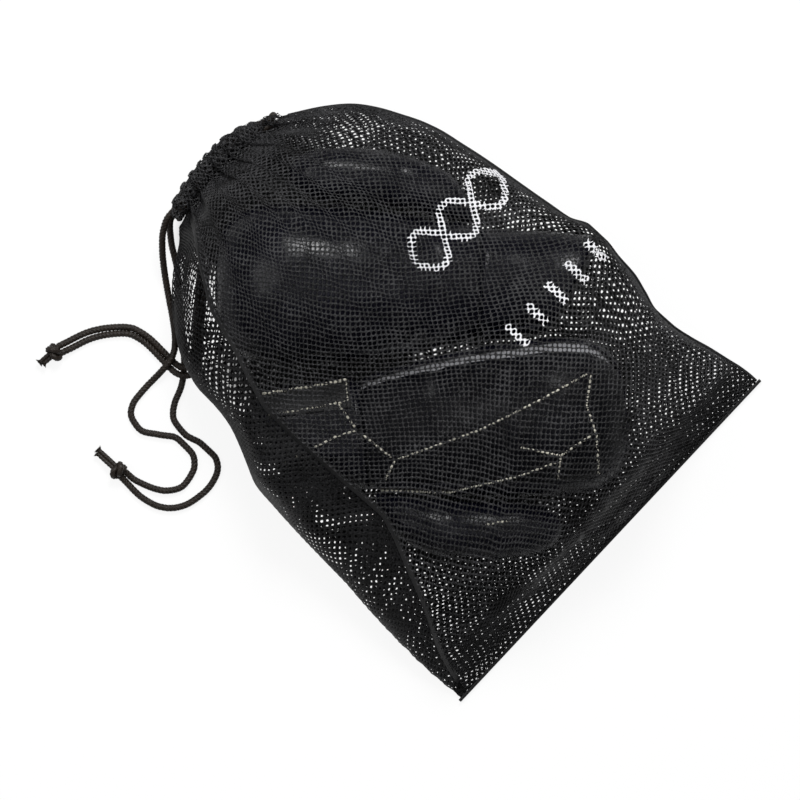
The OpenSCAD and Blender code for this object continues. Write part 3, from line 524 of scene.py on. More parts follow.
def make_knot(name, centre, angle, reach, ends):
    """An overhand knot of both tails, with two short ends that are frayed."""
    w = np.linspace(0, TURN, 150)
    big, small, hairs = 3.7, 2.2, 90
    p = np.stack([1.15 * small * np.sin(3 * w), (big + small * np.cos(3 * w)) * np.cos(2 * w),
                  0.85 * (big + small * np.cos(3 * w)) * np.sin(2 * w)], 1)
    spin = turn_z(math.radians(angle))
    parts = [braid(centre + p @ spin.T, CORD_D * 0.92, 0.5, 24)]
    down = math.radians(10)
    # the two ends lie side by side and fray; on the other side both cords run in
    for k, off in enumerate([-1.3, 1.3]):
        s = np.linspace(0, 1, 14)
        x = 2 + (reach - 1.6 * k) * s
        q = np.stack([x, off * (1 + 0.15 * np.sin(3 * s)), 0.6 * k - np.sin(down) * x], 1)
        q[:, 2] = np.maximum(q[:, 2], 2.2 - centre[2])
        parts.append(braid(centre + q @ spin.T, CORD_D * 0.68, 0.45, 20))
        for _ in range(hairs):
            aim = np.array([0.8, rng.uniform(-1, 1), rng.uniform(-0.6, 1)])
            root = q[-1] + np.array([-1.0, rng.uniform(-1.5, 1.5), rng.uniform(-1.5, 1.5)])
            hair = root + aim * np.linspace(0, 1, 4)[:, None] * rng.uniform(1.2, 3.0)
            hair[:, 2] = np.maximum(hair[:, 2], 0.3 - centre[2])
            parts.append(tube(centre + hair @ spin.T, 0.22, 5))
    near = np.linspace(0, 1, 8)[:, None]
    for end in ends:
        parts.append(braid(end + (centre + (end - centre) * 0.25 - end) * near, CORD_D * 0.98,
                           0.45, 24))
    return make(name, *gather(parts), CORD)


def make_cords():
    tails = {name: tail(name, route) for name, route in ROUTES.items()}
    runs = {name: stand_for(make(name.replace("_tail", "_run"), *braid(p, CORD_D), CORD),
                            name) for name, p in tails.items()}
    for side, ((u, v), angle, reach, bend) in KNOTS.items():
        names = [f"{side}_cord_{lay}_tail" for lay in ("upper", "lower")]
        centre = np.array([u, v - Y_MID, KNOT_TURN + CORD_D / 2 + 0.05])
        body = side + "_cord_end"
        knot = make_knot(side + "_knot_tied", centre, angle, reach, [tails[n][-1] for n in names])
        stand_for(knot, side + "_cord_knot", body)
        for n in names:
            p = tails[n]
            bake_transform(runs[n])
    # the stretches inside the casings, with a loop between them at one end of the hem
    for side, d, w, drop in (("left", 1, 0.3, HEM_DROOP + 1), ("right", -1, -1, 0)):
        off = d * CORD_OFF
        e, v = MID + d * HALF_MOUTH, HEM_V + off - Y_MID - drop
        t = np.linspace(-1, 1, 16)
        p = ([hem_pt(k * d, FRONT_Z, off) for k in t]
             + [[e + d * 2.2, v + w, FRONT_Z - 1.2], [e + d * 4.8, v + 2 * w, FRONT_Z - 4.8],
                [e + d * 5.8, v + 2.4 * w, HEM_Z], [e + d * 4.8, v + 2 * w, BACK_Z + 4.8],
                [e + d * 2.2, v + w, BACK_Z + 1.2]]
             + [hem_pt(-k * d, BACK_Z, off) for k in t])
        o = make(side + "_hem_drawcord", *braid(np.array(p, float), CORD_D, 0.7, 24), CORD)
        stand_for(o, side + "_exit_drawcord", "bag")


make_cords()


# ---- gloves

def floats(*q):
    """Values as arrays of one shape."""
    return np.broadcast_arrays(*[np.asarray(k, float) for k in q])


def lean(p, k):
    """The cuff's end is cut at a slant k, which fades out along the glove."""
    q = p.copy()
    q[..., 0] += (k[0] * p[..., 1] + k[1]) * (1 - np.clip(p[..., 0] / 90, 0, 1))
    return q


def form(x, a, d, k):
    """Outer form at station x and angle a in radians, d inside it."""
    x, a, d = floats(x, a, d)
    s = smooth((x - 205) / 85)
    q = d * (1 - s)
    w = np.where(np.cos(a) >= 0, side_p(x), side_m(x)) - q
    h = np.where(np.sin(a) >= 0, back_h(x), palm_h(x)) - q
    p = np.stack([x - d * s, w * spow(np.cos(a), BOXY), h * spow(np.sin(a), BOXY)], -1)
    return lean(p, k)


def hollow(x, a, d, k):
    """The hollow for the hand at station x and angle a, d outside it."""
    x, a, d = floats(x, a, d)
    s = smooth((x - 190) / 34)
    p = np.stack([x + d * s, (hand_w(x) + d) * spow(np.cos(a), BOXY),
                  hand_z(x) + (hand_h(x) + d) * spow(np.sin(a), BOXY)], -1)
    return lean(p, k)


def stations(a, b, n):
    """n places along the glove, as a column."""
    return np.linspace(a, b, n)[:, None]


def angles(a, b, n):
    """n angles round the glove, given in degrees, as a row in radians."""
    return np.radians(np.linspace(a, b, n))[None]


SURFACES = {"left": [], "right": []}


def make_glove(side):
    k = SLANT[side]
    seed = 3 if side == "left" else 11

    def piece(name, cad_node, shape, material, body="glove", keep=False):
        """A piece of this glove from (points, faces); what is kept can carry stitches."""
        v, faces = placed(side, shape[0]), shape[1]
        if side == "left":
            faces = [f[::-1] for f in faces]
        o = make(f"{side}_{name}", v, faces, material)
        stand_for(o, f"{side}_{cad_node}", f"{side}_{body}")
        if keep:
            SURFACES[side].append((v, faces, body))

    def shell(x, a, outer, inner):
        return slab(form(x, a, outer, k), form(x, a, inner, k))

    def across(width, n):
        return stations(STRAP_X - width / 2, STRAP_X + width / 2, n)

    x = FIST_X + 208 * np.concatenate([np.linspace(0, 0.8, 44, endpoint=False),
                                       0.8 + 0.2 * np.sin(np.linspace(0, math.pi / 2, 22))])
    x = x[:, None]

    def leather(name, a, rims, puffs, fold, material):
        """A panel of the fist: puffed, with grooves beside its seams and soft folds."""
        base = form(x, a, 0, k)
        (high, size, n), (high2, size2, n2) = puffs
        puff = high * wobble(base, size, seed + n) + high2 * wobble(base, size2, seed + n2)
        groove = 2.0 * (dent(x, FIST_X, 2.6) + dent(np.degrees(a), rims[0], 2.5)
                        + dent(np.degrees(a), rims[1], 2.5))
        d = np.clip(0.5 - puff * 0.5 + groove * 0.5 + fold, 0, 3.2)
        d = d * (1 - smooth((x - 276) / 16))
        piece(name, name + "_leather", shell(x, a, d, d + LEATHER), material,
              keep=True)

    a = angles(-36, 198, 84)
    leather("fist", a, (-36, 198), ((0.55, 46, 0), (0.3, 21, 1)),
            1.6 * dent(x, 128 + 4 * np.sin(3 * a), 5)
            + 1.1 * dent(x, 205 + 5 * np.cos(2 * a), 6) * 0.4, SKIN)
    leather("palm", angles(216.5, 323.5, 48), (216, 324), ((0.6, 40, 2), (0.25, 15, 3)),
            1.8 * dent(x, 150, 5) + 1.5 * dent(x, 214, 5), PALM)
    # foam block, lining and grip bar, seen only from inside
    ring = angles(0, 360, 49)[:, :-1]
    xo = np.concatenate([np.linspace(88, 260, 18), [268, 276, 283, 289, 293, 296]])[:, None]
    xi = np.array([88, 100, 115, 132, 150, 168, 185, 196, 205, 213, 220, 224.0])[:, None]
    piece("padding", "foam", pocket(form(xo, ring, 4.9, k), hollow(xi, ring, LINING + SEAT, k)),
          FOAM)
    xl = np.concatenate([np.linspace(4, 185, 24), [194, 202, 209, 215, 220, 224]])[:, None]
    piece("inner_cloth", "lining", pocket(hollow(xl, ring, LINING, k), hollow(xl, ring, 0, k)),
          CLOTH)
    xb, a = stations(185, 203, 8), angles(234, 306, 14)
    bulge = 1.2 * np.sin((xb - 185) / 18 * math.pi)
    piece("bar", "grip_bar", slab(hollow(xb, a, -SEAT, k), hollow(xb, a, -8.2 - bulge, k)),
          PALM)
    # thumb: a stuffed finger with a seam down both sides
    xt = np.concatenate([[92, 94, 98], np.linspace(103, 206, 34), np.linspace(210, 231, 10),
                         [233.5, 235.5, 237]])[:, None]
    about = np.stack(np.broadcast_arrays(xt, 25 * np.cos(ring), 25 * np.sin(ring)), -1)
    r = thumb_r(xt) * (1 - 0.02 * (1 + wobble(about, 30, seed + 5)))
    seam = dent(np.degrees(ring), 90, 4) + dent(np.degrees(ring), 270, 4)
    r = r - 1.1 * seam * smooth((xt - 96) / 8) - 1.0 * dent(xt, 150, 5)
    v = np.stack([np.broadcast_to(xt, r.shape), thumb_y(xt) + r * np.cos(ring),
                  THUMB_Z + r * np.sin(ring)], -1)
    piece("thumb_padded", "thumb", loft(v), SKIN, "thumb", keep=True)
    # tab to the thumb
    y = float(side_p(200)) + 0.45
    e = float(thumb_gap(200)) - 1.5
    s = np.linspace(0, 1, 7)
    xg, zg = np.meshgrid(195 + 10 * s, THUMB_Z - 3 + 7 * s, indexing="ij")
    near, far = [np.stack([xg, np.full_like(xg, q), zg], -1) for q in (y, y + e - 0.05)]
    piece("tab", "thumb_tab", slab(far, near), SKIN)
    # cuff, and the binding of its end: a rolled edge
    xc, a = stations(CUFF_FROM, CUFF_TO, 30), angles(-84, 264, 110)
    d = np.clip(0.45 - 0.5 * wobble(form(xc, a, 0, k), 34, seed + 6)
                + 1.4 * dent(xc, CUFF_TO, 2.5) + 1.2 * dent(xc, CUFF_FROM, 2.2), 0, 2.4)
    piece("cuff_padded", "cuff", slab(form(xc, a, d, k), hollow(xc, a, LINING + SEAT, k)),
          SKIN, keep=True)
    a = angles(0, 360, 97)[:, :-1]
    w = stations(0, 1, 9) * math.pi
    xr, fall = 1.86 - 1.86 * np.cos(w), 1 - np.sin(w)
    rolled = slab(form(xr, a, -0.7 + 0.7 * fall, k), hollow(xr, a, 0.2 + 0.5 * fall, k), ring=True)
    piece("edge_binding", "cuff_binding", rolled, TAPE, keep=True)
    # wrist strap with a crowned edge and a sewn line beside it
    xs, a = across(STRAP_WIDTH, 30), angles(144, 288, 60)
    lift = SEAT + STRAP_RISE * smooth((288 - np.degrees(a)) / 72)
    edge = np.minimum(np.minimum(xs - xs[0], xs[-1] - xs), 40)
    crown = 0.7 * (1 - np.exp(-edge / 2.0)) - 0.7
    top = -lift - STRAP_THICK - crown + 0.35 * dent(edge, 4.5, 0.9)
    piece("strap", "wrist_strap", shell(xs, a, top, -lift), SKIN, "strap", keep=True)
    # loop and hook patches
    xp, a = across(STRAP_WIDTH - 8, 40), angles(162, 198, 16)
    rough = 0.06 * rng.uniform(-1, 1, (40, 16))
    piece("loop_pad", "loop_patch", shell(xp, a, -SEAT - 0.74 + rough, -SEAT), CLOTH)
    piece("hook_pad", "hook_patch", shell(xp, a, -SEAT - 1.92, -SEAT - 1.16 + rough),
          CLOTH, "strap")
    # label
    xq, a = across(LABEL_LENGTH, 36), angles(207, 246, 30)
    rim = np.minimum(np.minimum(xq - xq[0], xq[-1] - xq),
                     np.minimum(np.degrees(a) - 207, 246 - np.degrees(a)) * 0.65)
    high = LABEL_LOW + LABEL_THICK - 0.35 * np.exp(-rim / 0.8)
    piece("patch_label", "label", shell(xq, a, -high, -LABEL_LOW), LABEL, "strap",
          keep=True)
    # hanging loop: webbing sewn into the cuff's end
    p = np.array([[-1.1,-4,33.5],[-9,-6,32],[-19,-11,29],[-26,-19,26],[-27,-28,23],
                  [-20,-33,22],[-10,-34,22],[-5,-32,23],[-1.1,-29,24.5]], float)
    if side == "right":
        p[:, 0] = 0.3 * p[:, 0] - 1
    p = resample(p, 60)
    n = unit(np.cross([0, 0, 1], unit(np.gradient(p, axis=0))))
    prof = [(1, -4), (1.1, -2), (1.0, 0), (1.1, 2), (1, 4)]
    prof += [(-out, up) for out, up in reversed(prof)]
    v = np.stack([p + out * n + np.array([0, 0, up]) for out, up in prof], 1)
    piece("hang_loop", "hanging_loop", loft(lean(v, k)), TAPE, keep=True)


for hand in SIDES:
    make_glove(hand)


# ---- the drape of the net

plain_left = lookup([
    [-4,-176],[8,-177],[44,-177],[68,-176],[104,-173],[128,-170],[176,-167.5],[200,-165.6],
    [236,-162],[248,-156],[278,-142],[296,-138],[326,-137],[344,-130],[356,-124],[374,-111],
    [394,-93],[414,-68],[424,-54]])
plain_right = lookup([
    [-4,176],[8,176],[44,169],[68,163],[92,160],[104,163],[128,170],[152,172],[176,171.6],
    [200,167],[236,161.7],[278,156],[326,147],[344,140],[374,125],[394,111],[414,86],[424,70]])
seam_line = lookup([
    [1,-168],[38,-157],[70,-139],[98,-127],[130,-113],[149,-108],[191,-110],[234,-111],[268,-110],
    [290,-104],[324,-91],[355,-82],[390,-60],[424,-36]])
edge_z = lookup([[4,2.15],[14,3],[60,9],[150,EDGE_HEIGHT],[380,EDGE_HEIGHT],[440,28]])


def bulk():
    """Plan points round both gloves, which the bag's edges keep clear of."""
    pts = []
    for at, turn, k, _ in LIE.values():
        def plan(x, y):
            return (at[0] + x * math.cos(turn) + y * math.sin(turn),
                    at[1] + x * math.sin(turn) - y * math.cos(turn))
        for x in range(0, 289, 12):
            for s in (0, SHIFT):
                c = max(0, 1 - x / 90)
                pts.append(plan(x + c * (k[0] * side_p(x) + k[1]) + s, side_p(x) + 0.7))
                pts.append(plan(x + c * (k[1] - k[0] * side_m(x)) + s,
                                -side_m(x) - (5.4 if 7 < x < 85 else 0.7)))
                if 100 < x < 236:
                    pts.append(plan(x + s, thumb_y(x) + thumb_r(x) + 5))
    return np.array(pts, float)


BULK = bulk()
NEAR = 11  # how far along the bag a point of the gloves holds its edge out


def bag_side(v, plain, room, pick):
    v = np.atleast_1d(v).astype(float)
    near = np.abs(BULK[None, :, 1] - v[:, None]) < NEAR
    return pick(plain(v), pick.reduce(np.where(near, BULK[None, :, 0] + room, 0), axis=1))


LEFT_SIDE = (plain_left, -NET_ROOM, np.minimum)
RIGHT_SIDE = (plain_right, NET_ROOM + 2.5, np.maximum)

# the rows and columns of the sheet: the strip left of the side seam, then the rest
ROWS = 27
ROW_V = np.array([-1, 3.6, 14] + [mix(28, MOUTH_V, (i - 3) / (ROWS - 4)) for i in range(3, ROWS)])
STRIP = np.array([0, 0.05, 0.15, 0.35, 0.65, 1])
FRONT = np.array([0, 0.1, 0.22, 0.34, 0.46, 0.57, 0.67, 0.76, 0.84, 0.905, 0.95, 0.978, 0.992, 1])
LOWER = np.array([0.006, 0.02, 0.045, 0.09, 0.17, 0.3, 0.43, 0.56, 0.69, 0.8, 0.88, 0.94, 0.975, 1])
N_STRIP = len(STRIP)
COLS = N_STRIP + len(FRONT)
SEAM_GAP, PASSES = 0.3, 160
EDGE_L = bag_side(ROW_V, *LEFT_SIDE)
# in the photo the right edge runs in a little beside the left glove's cuff
EDGE_R = np.minimum(bag_side(ROW_V, *RIGHT_SIDE) - 3, 172.7)
EDGE_R = np.minimum(EDGE_R, 170.8 + 0.004 * (ROW_V - 174) ** 2)
SEAM_U = np.maximum(EDGE_L + 10, seam_line(ROW_V))


def bow(v, u):
    """The rows near the mouth follow the hem's arch."""
    t = (u - MID) / HALF_MOUTH
    return v + HEM_ARCH * smooth((v - 360) / (MOUTH_V - 360)) * np.maximum(-0.3, 1 - t * t)


def lay(u, v, z):
    return np.stack([u, bow(v, u) - Y_MID, z], -1)


def over(side, u, v, s, room):
    """Height of the top of a glove over a plan point, widened by the room the net keeps."""
    at, turn, k, z = LIE[side]
    flip = side == "right"
    du, dv = u - at[0], v - at[1]
    along = du * math.cos(turn) + dv * math.sin(turn) - s
    y = du * math.sin(turn) - dv * math.cos(turn)
    cut = along - (k[0] * y + k[1]) * (1 - np.clip(along / 90, 0, 1))
    grow = room + np.where(cut < FIST_X, 5, 0)
    raw = np.where(cut > 150, 150 + (cut - 150) * 146 / (146 + grow + 2), cut)
    top = palm_h if flip else back_h
    x = np.clip(raw + 0.09 * top(np.maximum(0, raw)) * 0.6, 0, GLOVE_LENGTH)
    w = np.where(y > 0, side_p(x), side_m(x)) + grow
    h = top(x) + grow
    r = np.abs(y) / w
    xt = np.clip(x, THUMB_FROM, THUMB_TO)
    tr = thumb_r(xt) + grow + 2
    ty = (y - thumb_y(xt) - 2) / tr
    base = z + along * math.tan(TILT)
    glove = np.where((cut > -grow) & (raw < GLOVE_LENGTH + 1) & (r < 1),
                     base + h * np.maximum(1e-9, 1 - r ** 2.3) ** (1 / 2.3), 0)
    thumb = np.where((cut > FIST_X - grow) & (cut < 242 + grow) & (np.abs(ty) < 1),
                     base + (-THUMB_Z if flip else THUMB_Z)
                     + tr * np.sqrt(np.maximum(0, 1 - ty * ty)), 0)
    loop = np.where((k[0] < 0) & (cut > -33) & (cut <= 0) & (y < 5) & (y > -42),
                    base + 37 + 0.35 * cut + room, 0)
    return np.maximum(np.maximum(glove, thumb), loop)


def cover(u, v, room):
    """Height of both gloves over a plan point, at rest and shifted."""
    out = np.zeros(np.broadcast(u, v).shape)
    for s in (0, SHIFT):
        for side in SIDES:
            out = np.maximum(out, over(side, u, v, s, room))
    return out


def mouth_t(u):
    return (u - MID) / HEM_REACH


def draped():
    """The source's own height field of the upper face."""
    u = np.concatenate([mix(EDGE_L[:, None], SEAM_U[:, None] - SEAM_GAP, STRIP[None]),
                        mix(SEAM_U[:, None] + SEAM_GAP, EDGE_R[:, None], FRONT[None])], 1)
    v = np.repeat(ROW_V[:, None], COLS, 1)
    w = np.ones_like(u)
    w[:, 1:-1] = (u[:, 2:] - u[:, :-2]) * 0.27
    w[:, -2:] = 1
    low = np.zeros_like(u)
    reach = np.where(np.arange(ROWS) < 5, 4, 8)[:, None]
    for a in (-1, -0.5, 0, 0.5, 1):
        for b in (-1, -0.5, 0, 0.5, 1):
            low = np.maximum(low, cover(u + a * np.minimum(7, w), v + b * reach, NET_ROOM))
    low[:2] = 0
    rim = edge_z(v) + (np.arange(COLS) == COLS - 1)[None] * 0.9
    rim[-1] = mix(edge_z(v[-1]), FRONT_Z, 1 - np.minimum(1, np.abs(mouth_t(u[-1])) ** 4))
    rim[:2] = NET_THICK * 1.3 + 1.5
    held = np.zeros(u.shape, bool)
    held[:2] = held[-1] = True
    held[:, 0] = held[:, -1] = True
    z = np.where(held, rim, np.maximum(60, low))
    for _ in range(PASSES):
        n = z.copy()
        n[1:-1, 1:-1] = (z[:-2, 1:-1] + z[2:, 1:-1] + z[1:-1, :-2] + z[1:-1, 2:]) / 4
        n = np.maximum(n, low)
        z = np.where(held, z, n)
    return u, v, z


U, V, Z = draped()


def low_z(u, v, d):
    """Height of the lower face, d from the bag's edge: up at the mouth and past the fist."""
    at, turn = LIE["left"][:2]
    ahead = (u - at[0]) * math.cos(turn) + (v - at[1]) * math.sin(turn) - GLOVE_LENGTH
    base = np.maximum(BACK_Z * smooth((v - 346) / (MOUTH_V - 346)),
                      BACK_Z * smooth((ahead + 16) / 60))
    b = NET_THICK / 2 + base * (1 - NET_THICK / 2 / BACK_Z)
    return b + (edge_z(v) - b) * np.maximum(0, 1 - d / 16) ** 3


def tucked(g, tucks):
    """The rows with a few more that go on over the hem's casing, and one under the binding."""
    t = mouth_t(g[-1, :, 0])
    k = 1 - np.minimum(1, np.where(t > 0, np.abs(t / 1.12) ** 7, np.abs(t) ** 4))
    reach = k * (1 - 0.45 * smooth((t - 0.2) / 0.8))
    rows = [g[:1] + [0, -2.4, 0], g[:-1]]
    rows[0][..., 2] -= 0.9
    for far, high in tucks:
        last = g[-1].copy()
        last[:, 0] = mix(last[:, 0], MID, 0.05 * min(1, far / 4))
        last[:, 1] += min(1.5, far) + max(0, far - 1.5) * reach
        last[:, 2] += high * k * np.where(last[:, 2] < HEM_Z, -1, 1)
        rows.append(last[None])
    return np.concatenate(rows)


def front_rows():
    u, v, z = U[:, N_STRIP:], V[:, N_STRIP:], Z[:, N_STRIP:].copy()
    # an even slope from the bottom edge up to the gloves
    z[2] = np.minimum(z[2], mix(z[1], z[3], 0.45))
    z[1] = mix(z[0], z[2], 0.34)
    return tucked(lay(u, v, z), [(0, 3.0), (4.2, 7.0), (11, 9.3), (15, 7.0)])


def back_rows():
    """From the side seam over the left edge, then under the gloves to the right edge."""
    upper = lay(*(q[:, :N_STRIP][:, ::-1] for q in (U, V, Z)))
    a, b = EDGE_L[:, None], EDGE_R[:, None]
    u = mix(a, b, LOWER[None])
    v = np.repeat(ROW_V[:, None], len(LOWER), 1)
    z = low_z(u, v, np.maximum(0, np.minimum(u - a, b + 1.5 - u)))
    z[:, -1] -= 0.9
    z[:2] = 1.5 * NET_THICK
    z[-1] = mix(edge_z(v[-1]) - 0.9, BACK_Z, 1 - np.minimum(1, np.abs(mouth_t(u[-1])) ** 4))
    return tucked(np.concatenate([upper, lay(u, v, z)], 1), [(0, 1.5), (4.2, 5.6)])


def refine(rows, na, nb):
    """A fine even grid [nb, na, 3] through the rows, na along each row."""
    cross = np.stack([resample(r, na) for r in rows])
    step = np.linalg.norm(np.diff(cross, axis=0), axis=-1).mean(1)
    s = np.concatenate([[0], np.cumsum(step)])
    q = np.linspace(0, s[-1], nb)
    flat = cross.reshape(len(rows), -1)
    out = np.stack([line(np.stack([s, flat[:, k]], 1))(q) for k in range(flat.shape[1])], 1)
    return out.reshape(nb, na, 3), s[-1]


def soften(g, times):
    for _ in range(times):
        n = g.copy()
        n[1:-1, 1:-1] = 0.5 * g[1:-1, 1:-1] + 0.125 * (
            g[:-2, 1:-1] + g[2:, 1:-1] + g[1:-1, :-2] + g[1:-1, 2:])
        g = n
    return g


def shares(g):
    """Shares of a grid's width and length, as a row and a column."""
    return np.linspace(0, 1, g.shape[1])[None], np.linspace(0, 1, g.shape[0])[:, None]


def normals(g):
    return unit(np.cross(np.gradient(g, axis=1), np.gradient(g, axis=0)))


def sample(g, a, b):
    """Bilinear values of grid g at fractions a along rows and b along columns."""
    nb, na = g.shape[:2]
    x = np.clip(a, 0, 1) * (na - 1)
    y = np.clip(b, 0, 1) * (nb - 1)
    i = np.minimum(y.astype(int), nb - 2)
    j = np.minimum(x.astype(int), na - 2)
    fy, fx = (y - i)[..., None], (x - j)[..., None]
    return ((1 - fy) * ((1 - fx) * g[i, j] + fx * g[i, j + 1])
            + fy * ((1 - fx) * g[i + 1, j] + fx * g[i + 1, j + 1]))


# ---- the net's holes and folds

CELL_WIDE, CELL_HIGH = 5.7, 2.85
RIDGE = 0.42  # how far a strand's middle lies over the rims of its holes, and they under it
HOLE_MIN, HOLE_MAX = 0.35, 2.1
# where the cloth is pulled open or bunched: u, v, reach along u and v, change of the hole
STRETCH = [(-112, 330, 17, 50, 0.7), (-80, 384, 24, 44, 1.5), (146, 150, 20, 34, 0.35),
           (128, 44, 22, 14, 0.4), (104, 372, 46, 14, 0.45), (-150, 120, 12, 70, 0.25),
           (-150, 12, 22, 22, 0.2), (-60, 8, 50, 10, 0.45), (20, 51, 9, 7, 0.75),
           (60, 160, 36, 9, 0.2), (60, 3, 110, 13, -0.5), (92, 72, 42, 34, -0.45),
           (112, 113, 26, 20, -0.35), (-95, 110, 26, 60, -0.35), (12, 36, 26, 30, -0.6),
           (88, 24, 30, 22, -0.4), (-100, 44, 40, 34, -0.45), (-20, 32, 34, 18, -0.4),
           (10, 418, 80, 22, -0.6), (-30, 395, 22, 34, -0.5)]
CREASES = [  # u, v at both ends, width and height of a soft ridge in the upper net
    (2, 413, 16, 360, 5, 2.4), (-28, 400, -20, 340, 5, 2.0), (40, 405, 70, 350, 6, 2.2),
    (25.1, 131.5, -70.9, 49, 7, 4), (-92, 232, -55, 150, 6, 1.8), (60, 100, 150, 150, 6, 2.2),
    (80, 60, 165, 100, 6, 2.0), (-120, 60, -160, 10, 6, 1.5), (110, 30, 166, 20, 5, 1.5),
    (-40, 330, 40, 345, 9, 1.2), (-60, 270, 60, 300, 10, 1.2)]
PLEATS_FROM = 0.74  # share of the sheet's length where the gathers begin


def openness(p, base, vary, places):
    """Half size of the holes over points, uneven, with the places that are pulled or bunched."""
    u, v = p[:, 0], p[:, 1] + Y_MID
    r = base + vary * wobble(p, 60, 21) + 0.1 * wobble(p, 17, 22)
    for x, y, a, b, k in places:
        r = r + k * np.exp(-((u - x) / a) ** 2 - ((v - y) / b) ** 2)
    return np.clip(r, HOLE_MIN, HOLE_MAX)


def warp(a, b, width, height, seed, size):
    """Uneven lie of the cloth in its own plane, nothing at its borders."""
    r = np.random.default_rng(seed)
    da, db = np.zeros_like(a), np.zeros_like(b)
    for wave in (150, 90, 60, 34):
        for d in (da, db):
            k = r.normal(size=2)
            k *= TURN / wave / np.linalg.norm(k)
            d += size * wave / 200 * np.sin(k[0] * a * width + k[1] * b * height
                                            + r.uniform(0, 6.28))
    fade = np.clip(np.minimum(np.minimum(a, 1 - a), np.minimum(b, 1 - b)) / 0.05, 0, 1)
    return (np.clip(a + fade * da / width, 0, 1), np.clip(b + fade * db / height, 0, 1))


def net_piece(name, material, g, width, height, hole, seed, turn=False, uneven=2.4,
              vary=0.1, places=(), wide=1.0, low=None):
    """Strands between staggered six-sided holes over grid g, cut width by height when flat."""
    nrm = normals(g) * (-1 if turn else 1)
    cols, rows = int(round(width / CELL_WIDE)), int(round(height / CELL_HIGH))
    pw, ph = width / cols, height / rows
    # the corners that cells share: one at the top and one at the bottom of each
    R, C = rows + 3, cols + 3
    r, c = np.meshgrid(np.arange(R) - 1, np.arange(C) - 1, indexing="ij")
    s = (c + 0.5 * (r % 2)) * pw
    t = r * ph
    h1 = ph - 0.16 * ph
    N = R * C
    ri, ci = np.meshgrid(np.arange(1, R - 1), np.arange(1, C - 1), indexing="ij")
    odd = (ri - 1) % 2
    idx = ri * C + ci
    up = (ri + 1) * C + ci + odd
    down = (ri - 1) * C + ci + odd
    outer = np.stack([idx, N + up, down, N + idx, down - 1, N + up - 1], -1).reshape(-1, 6)
    # the hole in each cell, a little off its middle
    cs, ct = s[ri, ci].reshape(-1), t[ri, ci].reshape(-1)
    corners = np.radians([90, 30, -30, -90, -150, 150])
    hole = openness(sample(g, cs / width, ct / height), hole, vary, places)
    hole = hole[:, None] * rng.uniform(0.84, 1.1, hole.shape)[:, None]
    off = rng.uniform(-0.22, 0.22, (2, len(cs), 1))
    inner = np.stack([cs[:, None] + off[0] + wide * hole * np.cos(corners),
                      ct[:, None] + off[1] + hole * np.sin(corners)], -1)
    flat = np.concatenate([np.stack([s, t + h1], -1).reshape(-1, 2),
                           np.stack([s, t - h1], -1).reshape(-1, 2), inner.reshape(-1, 2)])
    inn = 2 * N + np.arange(len(cs) * 6).reshape(-1, 6)
    nx = np.roll(np.arange(6), -1)
    quads = np.stack([outer, outer[:, nx], inn[:, nx], inn], -1)
    # leave out cells whose middle lies off the cloth
    ok = (cs > -0.3 * pw) & (cs < width + 0.3 * pw) & (ct > -0.3 * ph) & (ct < height + 0.3 * ph)
    quads = quads[ok].reshape(-1, 4)
    used, quads = np.unique(quads, return_inverse=True)
    quads = quads.reshape(-1, 4)
    flat = flat[used]
    high = np.where(used < 2 * N, RIDGE, -RIDGE)
    a = np.clip(flat[:, 0] / width, 0, 1)
    b = np.clip(flat[:, 1] / height, 0, 1)
    wa, wb = warp(a, b, width, height, seed, uneven)
    p = sample(g, wa, wb) + unit(sample(nrm, wa, wb)) * high[:, None]
    if low is not None:
        p[:, 2] = np.maximum(p[:, 2], low)
    quads = quads if turn else quads[:, ::-1]
    o = make(name, p, quads.tolist(), material)
    # the cloth's own cut is the map that its finish is baked to
    layer = o.data.uv_layers.new(name="OFBake")
    idx = np.empty(len(o.data.loops), np.int32)
    o.data.loops.foreach_get("vertex_index", idx)
    uv = 0.01 + 0.98 * np.stack([a, b], -1)[idx]
    layer.data.foreach_set("uv", uv.astype(np.float32).ravel())
    return o, p[quads].mean(1).T


def motif(u, v):
    """A plain interlaced band over a row of short bars, in white print."""
    half, wave, beat, thick = 50, 17, math.pi * 1.5, 3.4
    x = (u - 103) / half
    y = wave * np.cos(x * beat)
    near = thick * np.sqrt(1 + (wave * beat / half * np.sin(x * beat)) ** 2) * 0.8
    band = (np.abs(x) < 1) & ((np.abs(v - 262 - y) < near) | (np.abs(v - 262 + y) < near))
    w = (u - 56) / 23.0
    bars = (w > 0) & (w < 5) & (np.abs(v - 165) < 11) & (np.abs((w % 1) - 0.5) < 0.14)
    return band | bars


def pleated(g, count, high, seed, calm=0.04):
    """The cloth gathered towards the mouth: folds whose tops lie over their flanks."""
    a, b = shares(g)
    n = normals(g)
    n = n * np.where(n[..., 2:].mean() < 0, -1, 1)
    along = unit(np.gradient(g, axis=1))
    path = np.linalg.norm(np.diff(g, axis=1), axis=-1).sum(1)[:, None]
    lap = np.clip((BAG_WIDTH / path - 1) / (4 * math.pi), 0, 0.22)
    k = smooth((b - PLEATS_FROM) / (1 - PLEATS_FROM)) ** 1.5
    k = k * (1 - 0.65 * smooth((b - 0.97) / 0.03))
    f = count * a + 0.22 * np.sin(TURN * 1.7 * a + seed) + 0.12 * np.sin(9 * b + seed)
    size = 0.75 + 0.25 * np.sin(TURN * 2.6 * a + 2 * seed)
    fade = np.clip(np.minimum(a / calm, (1 - a) / 0.04), 0, 1) ** 1.5
    up = high * k * size * (0.55 + np.sin(TURN * f))
    aside = -lap * path / count * np.sin(4 * math.pi * f)
    return g + fade[..., None] * (n * up[..., None] + along * aside[..., None])


